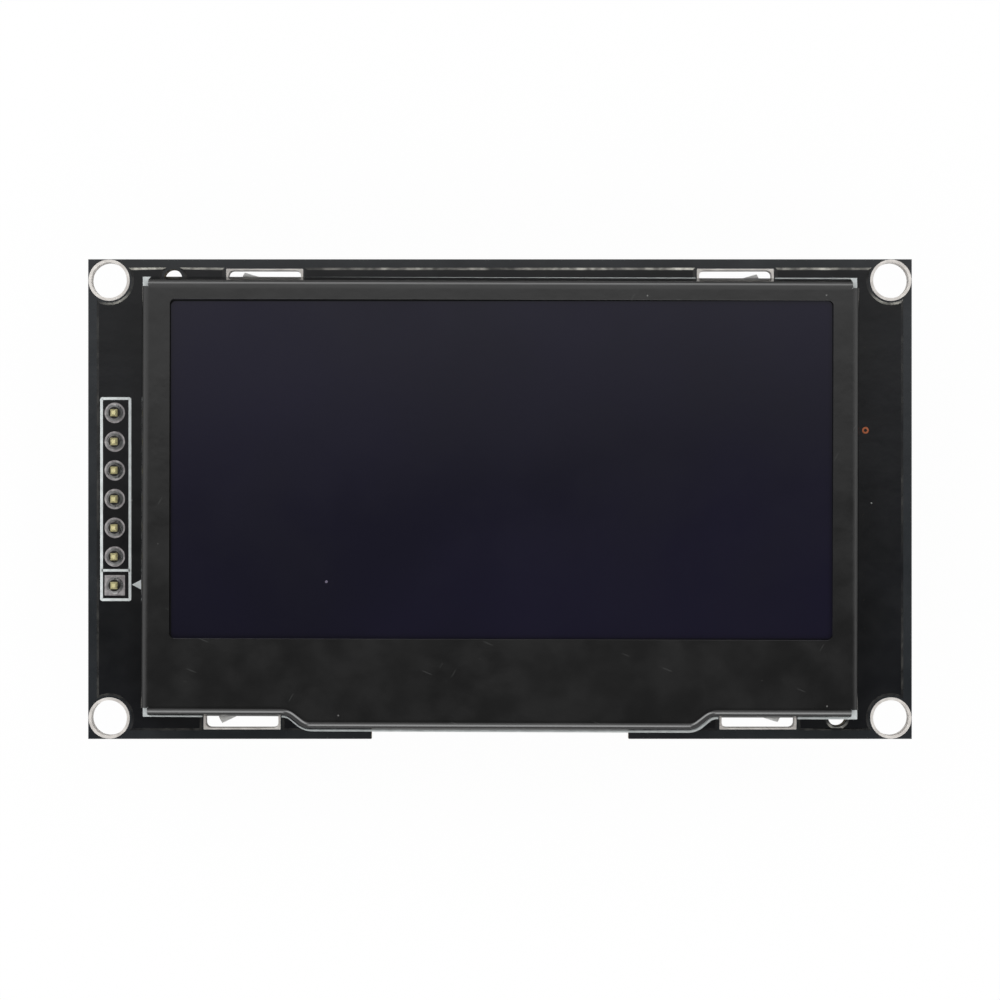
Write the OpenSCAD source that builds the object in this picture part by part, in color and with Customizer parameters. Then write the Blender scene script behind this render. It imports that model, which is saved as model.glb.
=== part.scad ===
// Small OLED display module: a glass display panel held on a circuit board by
// a folded steel bezel, with a seven-pin header and its supply parts behind.
// X runs along the board, Y up the screen and Z out of the screen.
// The origin is the centre of the four mounting holes, on the board's front face.

/* [Circuit board] */
// Width of board beyond each short edge of the display glass
board_margin_x = 6.15; // [5.8:0.05:12]
// Width of board beyond each long edge of the display glass
board_margin_y = 2.7; // [2.5:0.05:6]
// Thickness of the board
board_t = 1.6; // [1.2:0.1:2]
// Diameter of the four mounting holes
hole_d = 3.2; // [2.2:0.1:3.4]
// Distance from the board's edges to the centre of each mounting hole
hole_inset = 1.85; // [1.8:0.05:2.2]
// Width of the notch in the lower edge on each side of the flex cable
notch_side = 1.375; // [0.5:0.125:4]
// Distance from the lower edge of the glass to the inner edge of the notch
notch_gap = 0.4; // [0.2:0.05:0.6]
// Diameter of the two locating holes under the bezel's long walls
locator_d = 1.6; // [1:0.1:2]
// Distance of the upper left locating hole from the centre line
upper_locator_x = 28.9; // [27:0.1:30]
// Distance of the lower right locating hole from the centre line
lower_locator_x = 29.8; // [28:0.1:30]

/* [Display glass] */
// Length of the front and rear glass
glass_l = 60.5; // [60:0.1:62]
// Width of the front glass
glass_w = 37; // [36.5:0.1:37.5]
// Thickness of the front glass, which carries the display
front_glass_t = 0.7; // [0.5:0.1:1.1]
// Thickness of the rear glass, which seals it
rear_glass_t = 1.1; // [0.9:0.1:1.4]
// Width of the ledge of front glass left bare for the driver chip and the flex cable
ledge_w = 5.2; // [5:0.1:6]
// Depth of the recess etched into the rear glass
recess_depth = 0.35; // [0.3:0.05:0.5]
// Width of the seal between the two glasses, round the recess
seal_w = 1.6; // [1:0.1:2.5]
// Thickness of the moisture-absorbing sheet in the recess
desiccant_t = 0.2; // [0.1:0.05:0.25]
// Margin of the recess left bare round that sheet
desiccant_margin = 3; // [1:0.5:6]
// Thickness of the polarising film on the front glass
polariser_t = 0.2; // [0.1:0.05:0.3]
// How far the film reaches under the bezel all round the window
polariser_lap = 0.7; // [0.3:0.1:0.8]
// Thickness of the foam tape between the rear glass and the board
tape_t = 0.5; // [0.3:0.1:1]
// Width of each strip of tape
tape_w = 5; // [3:0.5:8]
// Distance of the strips' ends from the short edges of the glass
tape_end_inset = 3; // [1:0.5:6]
// Distance of the strips from the long edges of the rear glass
tape_edge_inset = 1; // [0.5:0.5:3]

/* [Bezel] */
// Thickness of the steel sheet
sheet_t = 0.3; // [0.2:0.05:0.4]
// Outer radius of every fold
bend_r = 0.7; // [0.5:0.05:0.9]
// Lean of the two long walls, in degrees from upright
wall_lean = 12; // [0:1:14]
// Gap between the glass and each short wall
side_gap = 0.95; // [0.6:0.05:1.1]
// Gap between the glass and the fold of the upper wall
upper_gap = 0.4; // [0.3:0.05:0.5]
// Gap between the glass and the fold of the lower wall
lower_gap = 0.15; // [0.1:0.05:0.3]
// Width of glass that the bezel hides beyond each side of the window
window_side = 1.15; // [1:0.05:4]
// Width of glass that it hides above the window
window_top = 0.85; // [0.8:0.05:3]
// Width of glass that it hides below the window
window_bottom = 6.35; // [5.5:0.05:9]
// Radius of the window's corners
window_r = 0.5; // [0.2:0.1:2]
// How far the middle of the lower edge swells out to clear the flex cable
bulge_depth = 1.12; // [0.9:0.02:1.2]
// Half the length of the straight part of that swelling
bulge_half = 16.6; // [13:0.1:17]
// Steepest angle of the swelling's ends
bulge_angle = 38; // [30:1:45]
// Radius of the outward curve at the swelling's ends
bulge_outer_r = 1; // [0.6:0.1:1.2]
// Radius of the inward curve at the swelling's ends
bulge_inner_r = 2; // [1.7:0.1:2.4]
// Gap between neighbouring walls at each corner
corner_relief = 0.15; // [0.05:0.05:0.5]

/* [Bezel tabs] */
// Width of each tab
tab_w = 3.6; // [3:0.1:4]
// Twist of each tab behind the board, in degrees
tab_twist = 45; // [20:1:60]
// How far the tabs reach behind the board
tab_reach = 1.5; // [1.3:0.1:2]
// Distance of the upper tabs from the centre line
upper_tab_x = 21.1; // [19:0.1:24]
// Distance of the lower tabs from the centre line
lower_tab_x = 23.1; // [22.9:0.1:25]
// Length of the slot that each tab passes through
slot_l = 6.5; // [5.5:0.1:7]
// How far each slot sits nearer the centre line than its tab
slot_shift = 0.3; // [0:0.05:0.5]
// Clearance between a tab's middle and the inner edge of its slot
slot_clearance = 0.65; // [0.6:0.05:0.8]
// Width of board left outside each slot
slot_rim = 0.95; // [0.7:0.05:1]
// Radius of the slots' corners
slot_r = 0.5; // [0.2:0.05:0.6]

/* [Header] */
// Number of pins
pin_count = 7; // [4:1:12]
// Distance between neighbouring pins
pitch = 2.54; // [2:0.01:2.54]
// Distance of the row of pins from the board's left edge
header_inset = 2.35; // [2:0.05:2.4]
// Side of the square pins
pin_side = 0.64; // [0.5:0.01:0.7]
// How far the pins stand out of the board's front face
pin_front = 1.35; // [1:0.05:1.8]
// How far the pins reach beyond the plastic strip
pin_tail = 6; // [3:0.1:12]
// Length of the tapered tip at each end of a pin
pin_tip = 0.5; // [0.3:0.1:0.9]
// Diameter of the board's pin holes
pin_hole_d = 1.02; // [1:0.01:1.2]
// Height of the plastic strip that holds the pins
strip_h = 2.54; // [1.5:0.01:3]
// Width of the plastic strip
strip_w = 2.5; // [2:0.1:2.6]
// Chamfer between neighbouring positions of the strip
strip_chamfer = 0.45; // [0.2:0.05:0.6]
// Diameter of the foot of each solder fillet
fillet_d = 1.6; // [1.4:0.05:1.8]
// Height of each solder fillet
fillet_h = 0.8; // [0.5:0.05:0.9]
// Solder left round the pin at the top of each fillet
fillet_top = 0.14; // [0.1:0.01:0.2]
// Radius of a fillet's hollow side, as a multiple of its slope's length
fillet_hollow = 1.1; // [0.8:0.05:2]

/* [Flex cable] */
// Width of the flex cable
flex_w = 20; // [16:0.5:20.5]
// Thickness of the flex cable
flex_t = 0.1; // [0.08:0.01:0.15]
// Length of its overlap with the glass ledge
flex_bond = 1.9; // [1.2:0.1:2]
// Middle radius of its two bends
flex_bend_r = 0.6; // [0.5:0.05:0.65]
// Length of the stretch that lies on the board's back
flex_tail = 5.4; // [3:0.1:8]
// Number of soldered fingers
finger_count = 24; // [10:1:30]
// Distance between neighbouring fingers
finger_pitch = 0.8; // [0.5:0.05:0.8]
// Width of the solder on each finger
finger_w = 0.4; // [0.2:0.05:0.45]
// Length of the solder on each finger
finger_l = 1.3; // [0.8:0.1:2]
// Thickness of the solder above the flex cable
finger_t = 0.08; // [0.05:0.01:0.15]
// Length over which the solder thins out on the flex cable
finger_thin = 0.26; // [0.1:0.01:0.5]
// Full thickness of solder past the flex cable's end
finger_lap = 0.1; // [0.05:0.01:0.2]
// Reach of the solder on the board past the flex cable's end
finger_toe = 0.5; // [0.3:0.05:1]

/* [Driver chip] */
// Length of the driver chip on the ledge
driver_l = 13.4; // [8:0.1:16]
// Width of the driver chip
driver_w = 1.3; // [0.8:0.1:1.6]
// Thickness of the driver chip
driver_t = 0.3; // [0.2:0.05:0.4]
// Gap between the driver chip and the rear glass
driver_gap = 0.8; // [0.5:0.1:1.2]

/* [Supply parts] */
// Body size of the boost converter and the regulator: length, width, height
sot_size = [2.9, 1.6, 1.1];
// Distance between neighbouring leads of these two
sot_pitch = 0.95; // [0.65:0.05:1]
// Width of each of their leads
sot_lead_w = 0.4; // [0.3:0.05:0.5]
// Body size of the diode: length, width, height
diode_size = [2.7, 1.6, 1.05];
// Width of the diode's leads
diode_lead_w = 0.6; // [0.4:0.05:0.9]
// Thickness of every lead
lead_t = 0.15; // [0.1:0.01:0.2]
// Distance from a body's side to the bend of its leads
lead_step = 0.25; // [0.15:0.05:0.4]
// Distance from a body's side to the end of its leads
lead_foot = 0.65; // [0.5:0.05:0.9]
// Gap between the board and a moulded body
body_lift = 0.1; // [0.05:0.01:0.2]
// Draft of a moulded body's sides
body_draft = 0.12; // [0.05:0.01:0.2]
// Side of the inductor's base
inductor_side = 4; // [3:0.1:5]
// Distance from the inductor's middle to each cut corner of its base
inductor_corner = 1.8; // [1.6:0.05:2.5]
// Thickness of the inductor's base
inductor_base_h = 0.5; // [0.3:0.05:0.8]
// Thickness of the inductor's outer flange
inductor_flange_h = 0.35; // [0.2:0.05:0.6]
// Diameter of the inductor's drum
inductor_drum_d = 1.8; // [1.2:0.1:2.5]
// Diameter of the inductor's outer flange
inductor_flange_d = 3.8; // [2.8:0.1:4.8]
// Diameter of the inductor's winding
inductor_wire_d = 3.3; // [2.2:0.1:4.2]
// Height of the inductor
inductor_h = 2.1; // [1.2:0.1:2.4]
// Size of each large chip part: length, width, height
chip_size = [2, 1.25, 0.85];
// Size of each small chip part: length, width, height
small_chip_size = [1.6, 0.8, 0.45];
// Length of the metal cap at each end of a chip part
chip_cap = 0.35; // [0.2:0.05:0.45]
// How far those caps stand proud of the part's middle
cap_proud = 0.03; // [0.01:0.01:0.05]
// Number of small chip parts in their row
small_chip_count = 7; // [1:1:8]
// Distance between neighbours in that row
small_chip_pitch = 2; // [1.5:0.1:3]

/* [Hidden] */
$fn = 64;

// Board, window and notch, from the glass that they frame
board_l = glass_l + 2 * board_margin_x;
board_w = glass_w + 2 * board_margin_y;
window_l = glass_l - 2 * window_side;
window_w = glass_w - window_top - window_bottom;
window_rise = (window_bottom - window_top) / 2;
notch_l = flex_w + 2 * notch_side;
notch_y = -glass_w / 2 - notch_gap;

// How far a cutting shape passes the face that it cuts
cut = 1;

// Levels, counted up from the board's front face
back_z = -board_t;
rear_glass_z = tape_t;
front_glass_z = rear_glass_z + rear_glass_t;
polariser_z = front_glass_z + front_glass_t;
face_under_z = polariser_z + polariser_t;
face_z = face_under_z + sheet_t;
bend_z = face_z - bend_r;

// Mounting holes
hole_x = board_l / 2 - hole_inset;
hole_y = board_w / 2 - hole_inset;

// Lines at which the flat face of the bezel turns into its folds
fold_x = glass_l / 2 + side_gap + sheet_t - bend_r;
fold_top = glass_w / 2 + upper_gap + sheet_t - bend_r;
fold_bottom = -(glass_w / 2 + lower_gap + sheet_t - bend_r);
fold_bulge = fold_bottom - bulge_depth;

// Ends of the swelling: a curve outward, a straight ramp and a curve inward
ramp_l = (bulge_depth - (bulge_outer_r + bulge_inner_r) * (1 - cos(bulge_angle))) / sin(bulge_angle);
ramp_dir = [cos(bulge_angle), sin(bulge_angle)];
ramp_out = [sin(bulge_angle), -cos(bulge_angle)];
outer_centre = [bulge_half, fold_bulge + bulge_outer_r];
ramp_start = outer_centre + bulge_outer_r * ramp_out;
ramp_end = ramp_start + ramp_l * ramp_dir;
inner_centre = ramp_end + bulge_inner_r * ramp_out;

// Steps along each curve of the swelling, round each fold and along each twist
curve_steps = 6;
fold_steps = 6;
twist_steps = 8;
// Width of flat face that each wall's solid carries
lip = 0.8;
lower_lip = corner_relief / 2;

// Foot of a long wall, counted outward from its fold line
foot_out = bend_r * cos(wall_lean) + (bend_z + bend_r * sin(wall_lean)) * tan(wall_lean);

// Tabs and their slots
tab_top_y = fold_top + foot_out - sheet_t / 2;
tab_bottom_y = fold_bottom - foot_out + sheet_t / 2;
tab_twist_start = board_t - 0.5;
tab_end = 0.6;
tab_twist_h = board_t + tab_reach - tab_twist_start - tab_end;
slot_outer_y = board_w / 2 - slot_rim;

// Header
header_x = -board_l / 2 + header_inset;
header_half = (pin_count - 1) / 2 * pitch;
strip_z = back_z - strip_h;

// Rear glass and what lies in its recess
rear_w = glass_w - ledge_w;
rear_y = ledge_w / 2;
recess_l = glass_l - 2 * seal_w;
recess_w = rear_w - 2 * seal_w;
recess_r = 1;

// Flex cable: it leaves the ledge, drops through the notch and turns under the board
flex_ledge_y = -glass_w / 2;
flex_drop_y = notch_y - flex_bend_r;
flex_top_z = front_glass_z - flex_t / 2;
flex_back_z = back_z - flex_t / 2;
flex_end_y = notch_y + flex_tail;

// Places of the supply parts on the board's back
boost_at = [-7, -3.5];
regulator_at = [-21, 5];
diode_at = [6.5, -3.5];
inductor_at = [0, 2];
capacitor_at = [[-7, 1.5], [6.5, 1.5], [-16, 5], [-26, 5], [11, -3.5]];
resistor_row = [-27, -6];
resistor_at = [for (i = [0:small_chip_count - 1]) resistor_row + [i * small_chip_pitch, 0]];

// ---- shared shapes ----

// Flat rectangle with true round corners, centred
module rounded_rectangle(l, w, r) {
    square([l - 2 * r, w], center = true);
    square([l, w - 2 * r], center = true);
    for (x = [-1, 1], y = [-1, 1])
        translate([x * (l / 2 - r), y * (w / 2 - r)]) circle(r);
}

// Runs a section along X: the section's X turns to Y and its Y to Z
module along_x(length) {
    rotate([90, 0, 90]) linear_extrude(length) children();
}

// Pin centres, from the top of the row to the bottom
module at_pins() {
    for (i = [0:pin_count - 1])
        translate([header_x, header_half - i * pitch, 0]) children();
}

// Turns a part that is drawn standing on Z = 0 onto the board's back
module on_back(at) {
    translate([at[0], at[1], back_z]) mirror([0, 0, 1]) children();
}

// ---- circuit board ----

module slot(tab_x, tab_y) {
    inner_y = abs(tab_y) - slot_clearance;
    middle_y = (inner_y + slot_outer_y) / 2;
    for (side = [-1, 1])
        translate([side * (tab_x - slot_shift), sign(tab_y) * middle_y])
            rounded_rectangle(slot_l, slot_outer_y - inner_y, slot_r);
}

module circuit_board() {
    color("#1a1c1c")
    translate([0, 0, back_z]) difference() {
        linear_extrude(board_t) difference() {
            square([board_l, board_w], center = true);
            translate([0, notch_y - board_w / 2])
                square([notch_l, board_w], center = true);
            slot(upper_tab_x, tab_top_y);
            slot(lower_tab_x, tab_bottom_y);
        }
        for (x = [-hole_x, hole_x], y = [-hole_y, hole_y])
            translate([x, y, -cut]) cylinder(d = hole_d, h = board_t + 2 * cut);
        translate([-upper_locator_x, tab_top_y, -cut])
            cylinder(d = locator_d, h = board_t + 2 * cut);
        translate([lower_locator_x, tab_bottom_y, -cut])
            cylinder(d = locator_d, h = board_t + 2 * cut);
        translate([0, 0, -cut]) at_pins() cylinder(d = pin_hole_d, h = board_t + 2 * cut);
    }
}

// ---- bezel ----

// Closed solid through a row of rings: each holds the same number of points,
// in anticlockwise order for someone who looks back along the row
module loft(rings) {
    n = len(rings[0]);
    last = len(rings) - 1;
    polyhedron(
        points = [for (ring = rings) each ring],
        faces = concat(
            [[for (i = [0:n - 1]) i]],
            [for (r = [0:last - 1], i = [0:n - 1])
                [r * n + i, (r + 1) * n + (i + 1) % n, r * n + (i + 1) % n]],
            [for (r = [0:last - 1], i = [0:n - 1])
                [r * n + i, (r + 1) * n + i, (r + 1) * n + (i + 1) % n]],
            [[for (i = [n - 1:-1:0]) last * n + i]]
        )
    );
}

// Everything inside one surface of a folded wall: X runs outward, Y is height
module inside_fold(r, lean) {
    tangent = [r * cos(lean), bend_z + r * sin(lean)];
    translate([-lip, 0]) square([lip, bend_z + r]);
    translate([0, bend_z]) circle(r);
    foot = [tangent[0] + tangent[1] * tan(lean), 0];
    polygon([[-lip, 0], [-lip, bend_z], [0, bend_z], tangent, foot]);
}

// Section of a straight folded wall, with a lip of the flat face at its top
module fold_section(lean) {
    difference() {
        inside_fold(bend_r, lean);
        inside_fold(bend_r - sheet_t, lean);
        translate([-lip - cut, 0]) square([cut + lip / 2, face_under_z]);
    }
}

// Points of the leaning wall's section from the fold line out to the foot and back
function leaning_points() = let (inner_r = bend_r - sheet_t, turn = 90 - wall_lean) concat(
    [for (i = [0:fold_steps]) bend_point(bend_r, 90 - turn * i / fold_steps)],
    [[foot_out, 0], [foot_out - sheet_t / cos(wall_lean), 0]],
    [for (i = [fold_steps:-1:0]) bend_point(inner_r, 90 - turn * i / fold_steps)]
);
function bend_point(r, angle) = [r * cos(angle), bend_z + r * sin(angle)];

// Stations along the right half of the lower fold line: place and outward direction
function outward(angle) = [sin(angle), -cos(angle)];
function right_stations() = concat(
    [for (i = [0:curve_steps]) let (out = outward(bulge_angle * i / curve_steps))
        [outer_centre + bulge_outer_r * out, out]],
    [for (i = [curve_steps:-1:0]) let (out = outward(bulge_angle * i / curve_steps))
        [inner_centre - bulge_inner_r * out, out]],
    [[[fold_x - corner_relief, fold_bottom], [0, -1]]]
);
function mirrored(station) = [[-station[0][0], station[0][1]], [-station[1][0], station[1][1]]];
function lower_stations() = let (right = right_stations(), n = len(right)) concat(
    [for (i = [n - 1:-1:0]) mirrored(right[i])],
    right
);

// Ring of the lower wall at one station, closed by the edge of its lip
function lower_ring(station) = let (
    at = station[0], out = station[1], lip_y = fold_bottom + lower_lip
) concat(
    [[at[0], lip_y, face_z]],
    [for (p = leaning_points()) [at[0] + p[0] * out[0], at[1] + p[0] * out[1], p[1]]],
    [[at[0], lip_y, face_under_z]]
);

// Ring of a tab at one height, turned about the tab's middle line
function tab_ring(z, angle) = [
    for (corner = [[-1, -1], [1, -1], [1, 1], [-1, 1]])
        let (x = corner[0] * tab_w / 2, y = corner[1] * sheet_t / 2)
            [x * cos(angle) - y * sin(angle), x * sin(angle) + y * cos(angle), z]
];

// One tab: it leaves the wall's foot, passes the board and is twisted behind it
module tab(turn) {
    loft(concat(
        [tab_ring(-board_t - tab_reach, turn)],
        [for (i = [twist_steps:-1:0])
            tab_ring(-tab_twist_start - tab_twist_h * i / twist_steps, turn * i / twist_steps)],
        [tab_ring(0, 0)]
    ));
}

module bezel() {
    inset = lip / 2;
    lower_strip_x = fold_x - corner_relief - lower_lip;
    side_l = fold_top - fold_bottom - 2 * corner_relief;
    color("#2b2c2d")
    difference() {
        union() {
            translate([-fold_x + inset, fold_bottom + corner_relief, face_under_z])
                cube([2 * (fold_x - inset), fold_top - fold_bottom - corner_relief - inset, sheet_t]);
            translate([-lower_strip_x, fold_bottom + lower_lip / 2, face_under_z])
                cube([2 * lower_strip_x, inset, sheet_t]);
            translate([-fold_x + corner_relief, fold_top, 0])
                along_x(2 * (fold_x - corner_relief)) fold_section(wall_lean);
            for (side = [0, 1]) mirror([side, 0, 0]) {
                translate([fold_x, fold_top - corner_relief, 0]) rotate([90, 0, 0])
                    linear_extrude(side_l) fold_section(0);
                translate([upper_tab_x, tab_top_y, 0]) tab(tab_twist);
                translate([lower_tab_x, tab_bottom_y, 0]) tab(-tab_twist);
            }
            loft([for (station = lower_stations()) lower_ring(station)]);
        }
        translate([0, window_rise, face_under_z - sheet_t]) linear_extrude(3 * sheet_t)
            rounded_rectangle(window_l, window_w, window_r);
    }
}

// ---- display panel ----

module polariser() {
    color("#1d1a26")
    translate([0, window_rise, polariser_z]) linear_extrude(polariser_t)
        square([window_l + 2 * polariser_lap, window_w + 2 * polariser_lap], center = true);
}

module front_glass() {
    color("#33363a")
    translate([0, 0, front_glass_z]) linear_extrude(front_glass_t)
        square([glass_l, glass_w], center = true);
}

module rear_glass() {
    color("#44484c")
    difference() {
        translate([0, rear_y, rear_glass_z]) linear_extrude(rear_glass_t)
            square([glass_l, rear_w], center = true);
        translate([0, rear_y, front_glass_z - recess_depth]) linear_extrude(recess_depth + cut)
            rounded_rectangle(recess_l, recess_w, recess_r);
    }
}

module desiccant_sheet() {
    color("#d8d6cc")
    translate([0, rear_y, front_glass_z - recess_depth]) linear_extrude(desiccant_t)
        square([recess_l - 2 * desiccant_margin, recess_w - 2 * desiccant_margin], center = true);
}

// Two strips of foam tape, along the long edges of the rear glass
module mounting_tape() {
    edge = (rear_w - tape_w) / 2 - tape_edge_inset;
    color("#20201f")
    for (side = [-1, 1])
        translate([0, rear_y + side * edge, 0]) linear_extrude(tape_t)
            square([glass_l - 2 * tape_end_inset, tape_w], center = true);
}

module driver_chip() {
    middle_y = rear_y - rear_w / 2 - driver_gap - driver_w / 2;
    color("#55585c")
    translate([0, middle_y, front_glass_z - driver_t]) linear_extrude(driver_t)
        square([driver_l, driver_w], center = true);
}

// ---- flex cable ----

// Quarter bend of the flex cable's section, from angle start onward
module flex_quarter(start) {
    reach = 2 * flex_bend_r;
    rotate(start) intersection() {
        difference() {
            circle(flex_bend_r + flex_t / 2);
            circle(flex_bend_r - flex_t / 2);
        }
        square(reach);
    }
}

module flex_section() {
    bend_y = notch_y;
    upper_z = flex_top_z - flex_bend_r;
    lower_z = flex_back_z + flex_bend_r;
    translate([bend_y, flex_top_z - flex_t / 2])
        square([flex_ledge_y + flex_bond - bend_y, flex_t]);
    translate([bend_y, upper_z]) flex_quarter(90);
    translate([flex_drop_y - flex_t / 2, lower_z]) square([flex_t, upper_z - lower_z]);
    translate([bend_y, lower_z]) flex_quarter(180);
    translate([bend_y, flex_back_z - flex_t / 2]) square([flex_end_y - bend_y, flex_t]);
}

module flex_cable() {
    color("#8a5a20")
    translate([-flex_w / 2, 0, 0]) along_x(flex_w) flex_section();
}

// Solder that runs over the end of each finger and down onto the board
module flex_solder() {
    over_z = back_z - flex_t;
    first_x = -(finger_count - 1) / 2 * finger_pitch;
    color("#c2c4c6")
    for (i = [0:finger_count - 1])
        translate([first_x + i * finger_pitch - finger_w / 2, 0, 0]) along_x(finger_w)
            polygon([
                [flex_end_y, back_z],
                [flex_end_y, over_z],
                [flex_end_y - finger_l, over_z],
                [flex_end_y - finger_l, over_z - finger_t / 2],
                [flex_end_y - finger_l + finger_thin, over_z - finger_t],
                [flex_end_y + finger_lap, over_z - finger_t],
                [flex_end_y + finger_toe, back_z]
            ]);
}

// ---- header ----

module header_strip() {
    half = pitch / 2;
    side = strip_w / 2;
    color("#151515")
    translate([0, 0, strip_z]) difference() {
        at_pins() linear_extrude(strip_h) polygon([
            [-side + strip_chamfer, -half], [side - strip_chamfer, -half],
            [side, -half + strip_chamfer], [side, half - strip_chamfer],
            [side - strip_chamfer, half], [-side + strip_chamfer, half],
            [-side, half - strip_chamfer], [-side, -half + strip_chamfer]
        ]);
        translate([0, 0, -cut]) at_pins() linear_extrude(strip_h + 2 * cut)
            square(pin_side, center = true);
    }
}

// Side view of one pin, with a taper at both ends
module pin_outline() {
    low = strip_z - pin_tail;
    half = pin_side / 2;
    tip = half / 2;
    polygon([
        [-tip, low], [tip, low], [half, low + pin_tip], [half, pin_front - pin_tip],
        [tip, pin_front], [-tip, pin_front], [-half, pin_front - pin_tip], [-half, low + pin_tip]
    ]);
}

module header_pins() {
    color("#d8b45a")
    at_pins() intersection() {
        translate([0, pin_side, 0]) rotate([90, 0, 0]) linear_extrude(2 * pin_side) pin_outline();
        translate([-pin_side, 0, 0]) along_x(2 * pin_side) pin_outline();
    }
}

// Solder fills each hole and climbs the pin in a hollow fillet
module header_solder() {
    foot_r = fillet_d / 2;
    top_r = pin_side / 2 + fillet_top;
    slope = [top_r - foot_r, fillet_h];
    chord = norm(slope);
    hollow_r = fillet_hollow * chord;
    hollow_out = sqrt(hollow_r ^ 2 - chord ^ 2 / 4);
    hollow_centre = [foot_r, 0] + slope / 2 + hollow_out * [fillet_h, foot_r - top_r] / chord;
    color("#b9babb")
    difference() {
        at_pins() {
            translate([0, 0, back_z]) cylinder(d = pin_hole_d, h = board_t);
            rotate_extrude() difference() {
                polygon([[0, 0], [foot_r, 0], [top_r, fillet_h], [0, fillet_h]]);
                translate(hollow_centre) circle(hollow_r);
            }
        }
        at_pins() translate([0, 0, back_z - cut]) linear_extrude(board_t + fillet_h + 2 * cut)
            square(pin_side, center = true);
    }
}

// ---- supply parts on the board's back ----

// Moulded chip body with drafted sides, clear of the board by its leads
function body_middle(size) = (body_lift + size[2]) / 2;

// One side view of that body, drawn to the given width
module body_outline(width, size) {
    half = width / 2;
    middle = body_middle(size);
    polygon([
        [-half + body_draft, body_lift], [half - body_draft, body_lift], [half, middle],
        [half - body_draft, size[2]], [-half + body_draft, size[2]], [-half, middle]
    ]);
}

module moulded_body(size) {
    intersection() {
        translate([0, size[1] / 2, 0]) rotate([90, 0, 0]) linear_extrude(size[1])
            body_outline(size[0], size);
        translate([-size[0] / 2, 0, 0]) along_x(size[0]) body_outline(size[1], size);
    }
}

// One bent lead: it leaves a body's side at the given height and ends on the board
module gull_lead(width, height) {
    translate([-width / 2, 0, 0]) along_x(width) polygon([
        [0, height + lead_t / 2], [lead_step + lead_t, height + lead_t / 2],
        [lead_step + lead_t, lead_t], [lead_foot, lead_t], [lead_foot, 0],
        [lead_step, 0], [lead_step, height - lead_t / 2], [0, height - lead_t / 2]
    ]);
}

// Leads of a small moulded package: places on its near and its far side
module sot_leads(near, far) {
    height = body_middle(sot_size);
    for (i = far)
        translate([i * sot_pitch, sot_size[1] / 2, 0]) gull_lead(sot_lead_w, height);
    for (i = near)
        translate([i * sot_pitch, -sot_size[1] / 2, 0]) mirror([0, 1, 0])
            gull_lead(sot_lead_w, height);
}

module boost_converter() {
    color("#222222") on_back(boost_at) moulded_body(sot_size);
}

module boost_converter_leads() {
    color("#c9cbcc") on_back(boost_at) sot_leads([-1, 0, 1], [-1, 1]);
}

module voltage_regulator() {
    color("#222222") on_back(regulator_at) moulded_body(sot_size);
}

module voltage_regulator_leads() {
    color("#c9cbcc") on_back(regulator_at) sot_leads([-1, 1], [0]);
}

module schottky_diode() {
    color("#262626") on_back(diode_at) moulded_body(diode_size);
}

module schottky_diode_leads() {
    color("#c9cbcc") on_back(diode_at)
        for (turn = [-90, 90])
            rotate([0, 0, turn]) translate([0, diode_size[0] / 2, 0])
                gull_lead(diode_lead_w, body_middle(diode_size));
}

// Ferrite drum on a square base with cut corners
module inductor_core() {
    color("#4a4a4c") on_back(inductor_at) {
        linear_extrude(inductor_base_h) intersection() {
            square(inductor_side, center = true);
            rotate(45) square(2 * inductor_corner, center = true);
        }
        cylinder(d = inductor_drum_d, h = inductor_h - inductor_flange_h);
        translate([0, 0, inductor_h - inductor_flange_h])
            cylinder(d = inductor_flange_d, h = inductor_flange_h);
    }
}

module inductor_winding() {
    color("#b5672c") on_back(inductor_at) translate([0, 0, inductor_base_h]) difference() {
        cylinder(d = inductor_wire_d, h = inductor_h - inductor_flange_h - inductor_base_h);
        translate([0, 0, -cut]) cylinder(d = inductor_drum_d, h = inductor_h + cut);
    }
}

// Middle of one chip part, between its metal caps
module chip_middle(size) {
    translate([0, 0, size[2] / 2]) cube([
        size[0] - 2 * chip_cap, size[1] - 2 * cap_proud, size[2] - 2 * cap_proud
    ], center = true);
}

module chip_caps(size) {
    for (side = [-1, 1])
        translate([side * (size[0] - chip_cap) / 2, 0, size[2] / 2])
            cube([chip_cap, size[1], size[2]], center = true);
}

module capacitors() {
    color("#b08d5c") for (at = capacitor_at) on_back(at) rotate([0, 0, 90]) chip_middle(chip_size);
}

module capacitor_caps() {
    color("#c9cbcc") for (at = capacitor_at) on_back(at) rotate([0, 0, 90]) chip_caps(chip_size);
}

module resistors() {
    color("#1c1c1e") for (at = resistor_at) on_back(at) rotate([0, 0, 90]) chip_middle(small_chip_size);
}

module resistor_caps() {
    color("#c9cbcc") for (at = resistor_at) on_back(at) rotate([0, 0, 90]) chip_caps(small_chip_size);
}

circuit_board();
bezel();
polariser();
front_glass();
rear_glass();
desiccant_sheet();
mounting_tape();
driver_chip();
flex_cable();
flex_solder();
header_strip();
header_pins();
header_solder();
boost_converter();
boost_converter_leads();
voltage_regulator();
voltage_regulator_leads();
schottky_diode();
schottky_diode_leads();
inductor_core();
inductor_winding();
capacitors();
capacitor_caps();
resistors();
resistor_caps();
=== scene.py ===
# %% [markdown]
# # A small OLED display module
#
# A glass display panel sits on a black circuit board. A bezel folded from thin steel
# holds it there: four twisted tabs pass through plated slots in the board. A row of
# seven gold pins stands at the left. The solids come from the CAD model, and this
# notebook dresses them: it adds the printed ink, the bare tin, the raised copper and
# the soft folds, and gives every surface its finish.

# %% Load the fixed frame
import math

import bmesh
import bpy
from mathutils import Matrix, Vector


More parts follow.
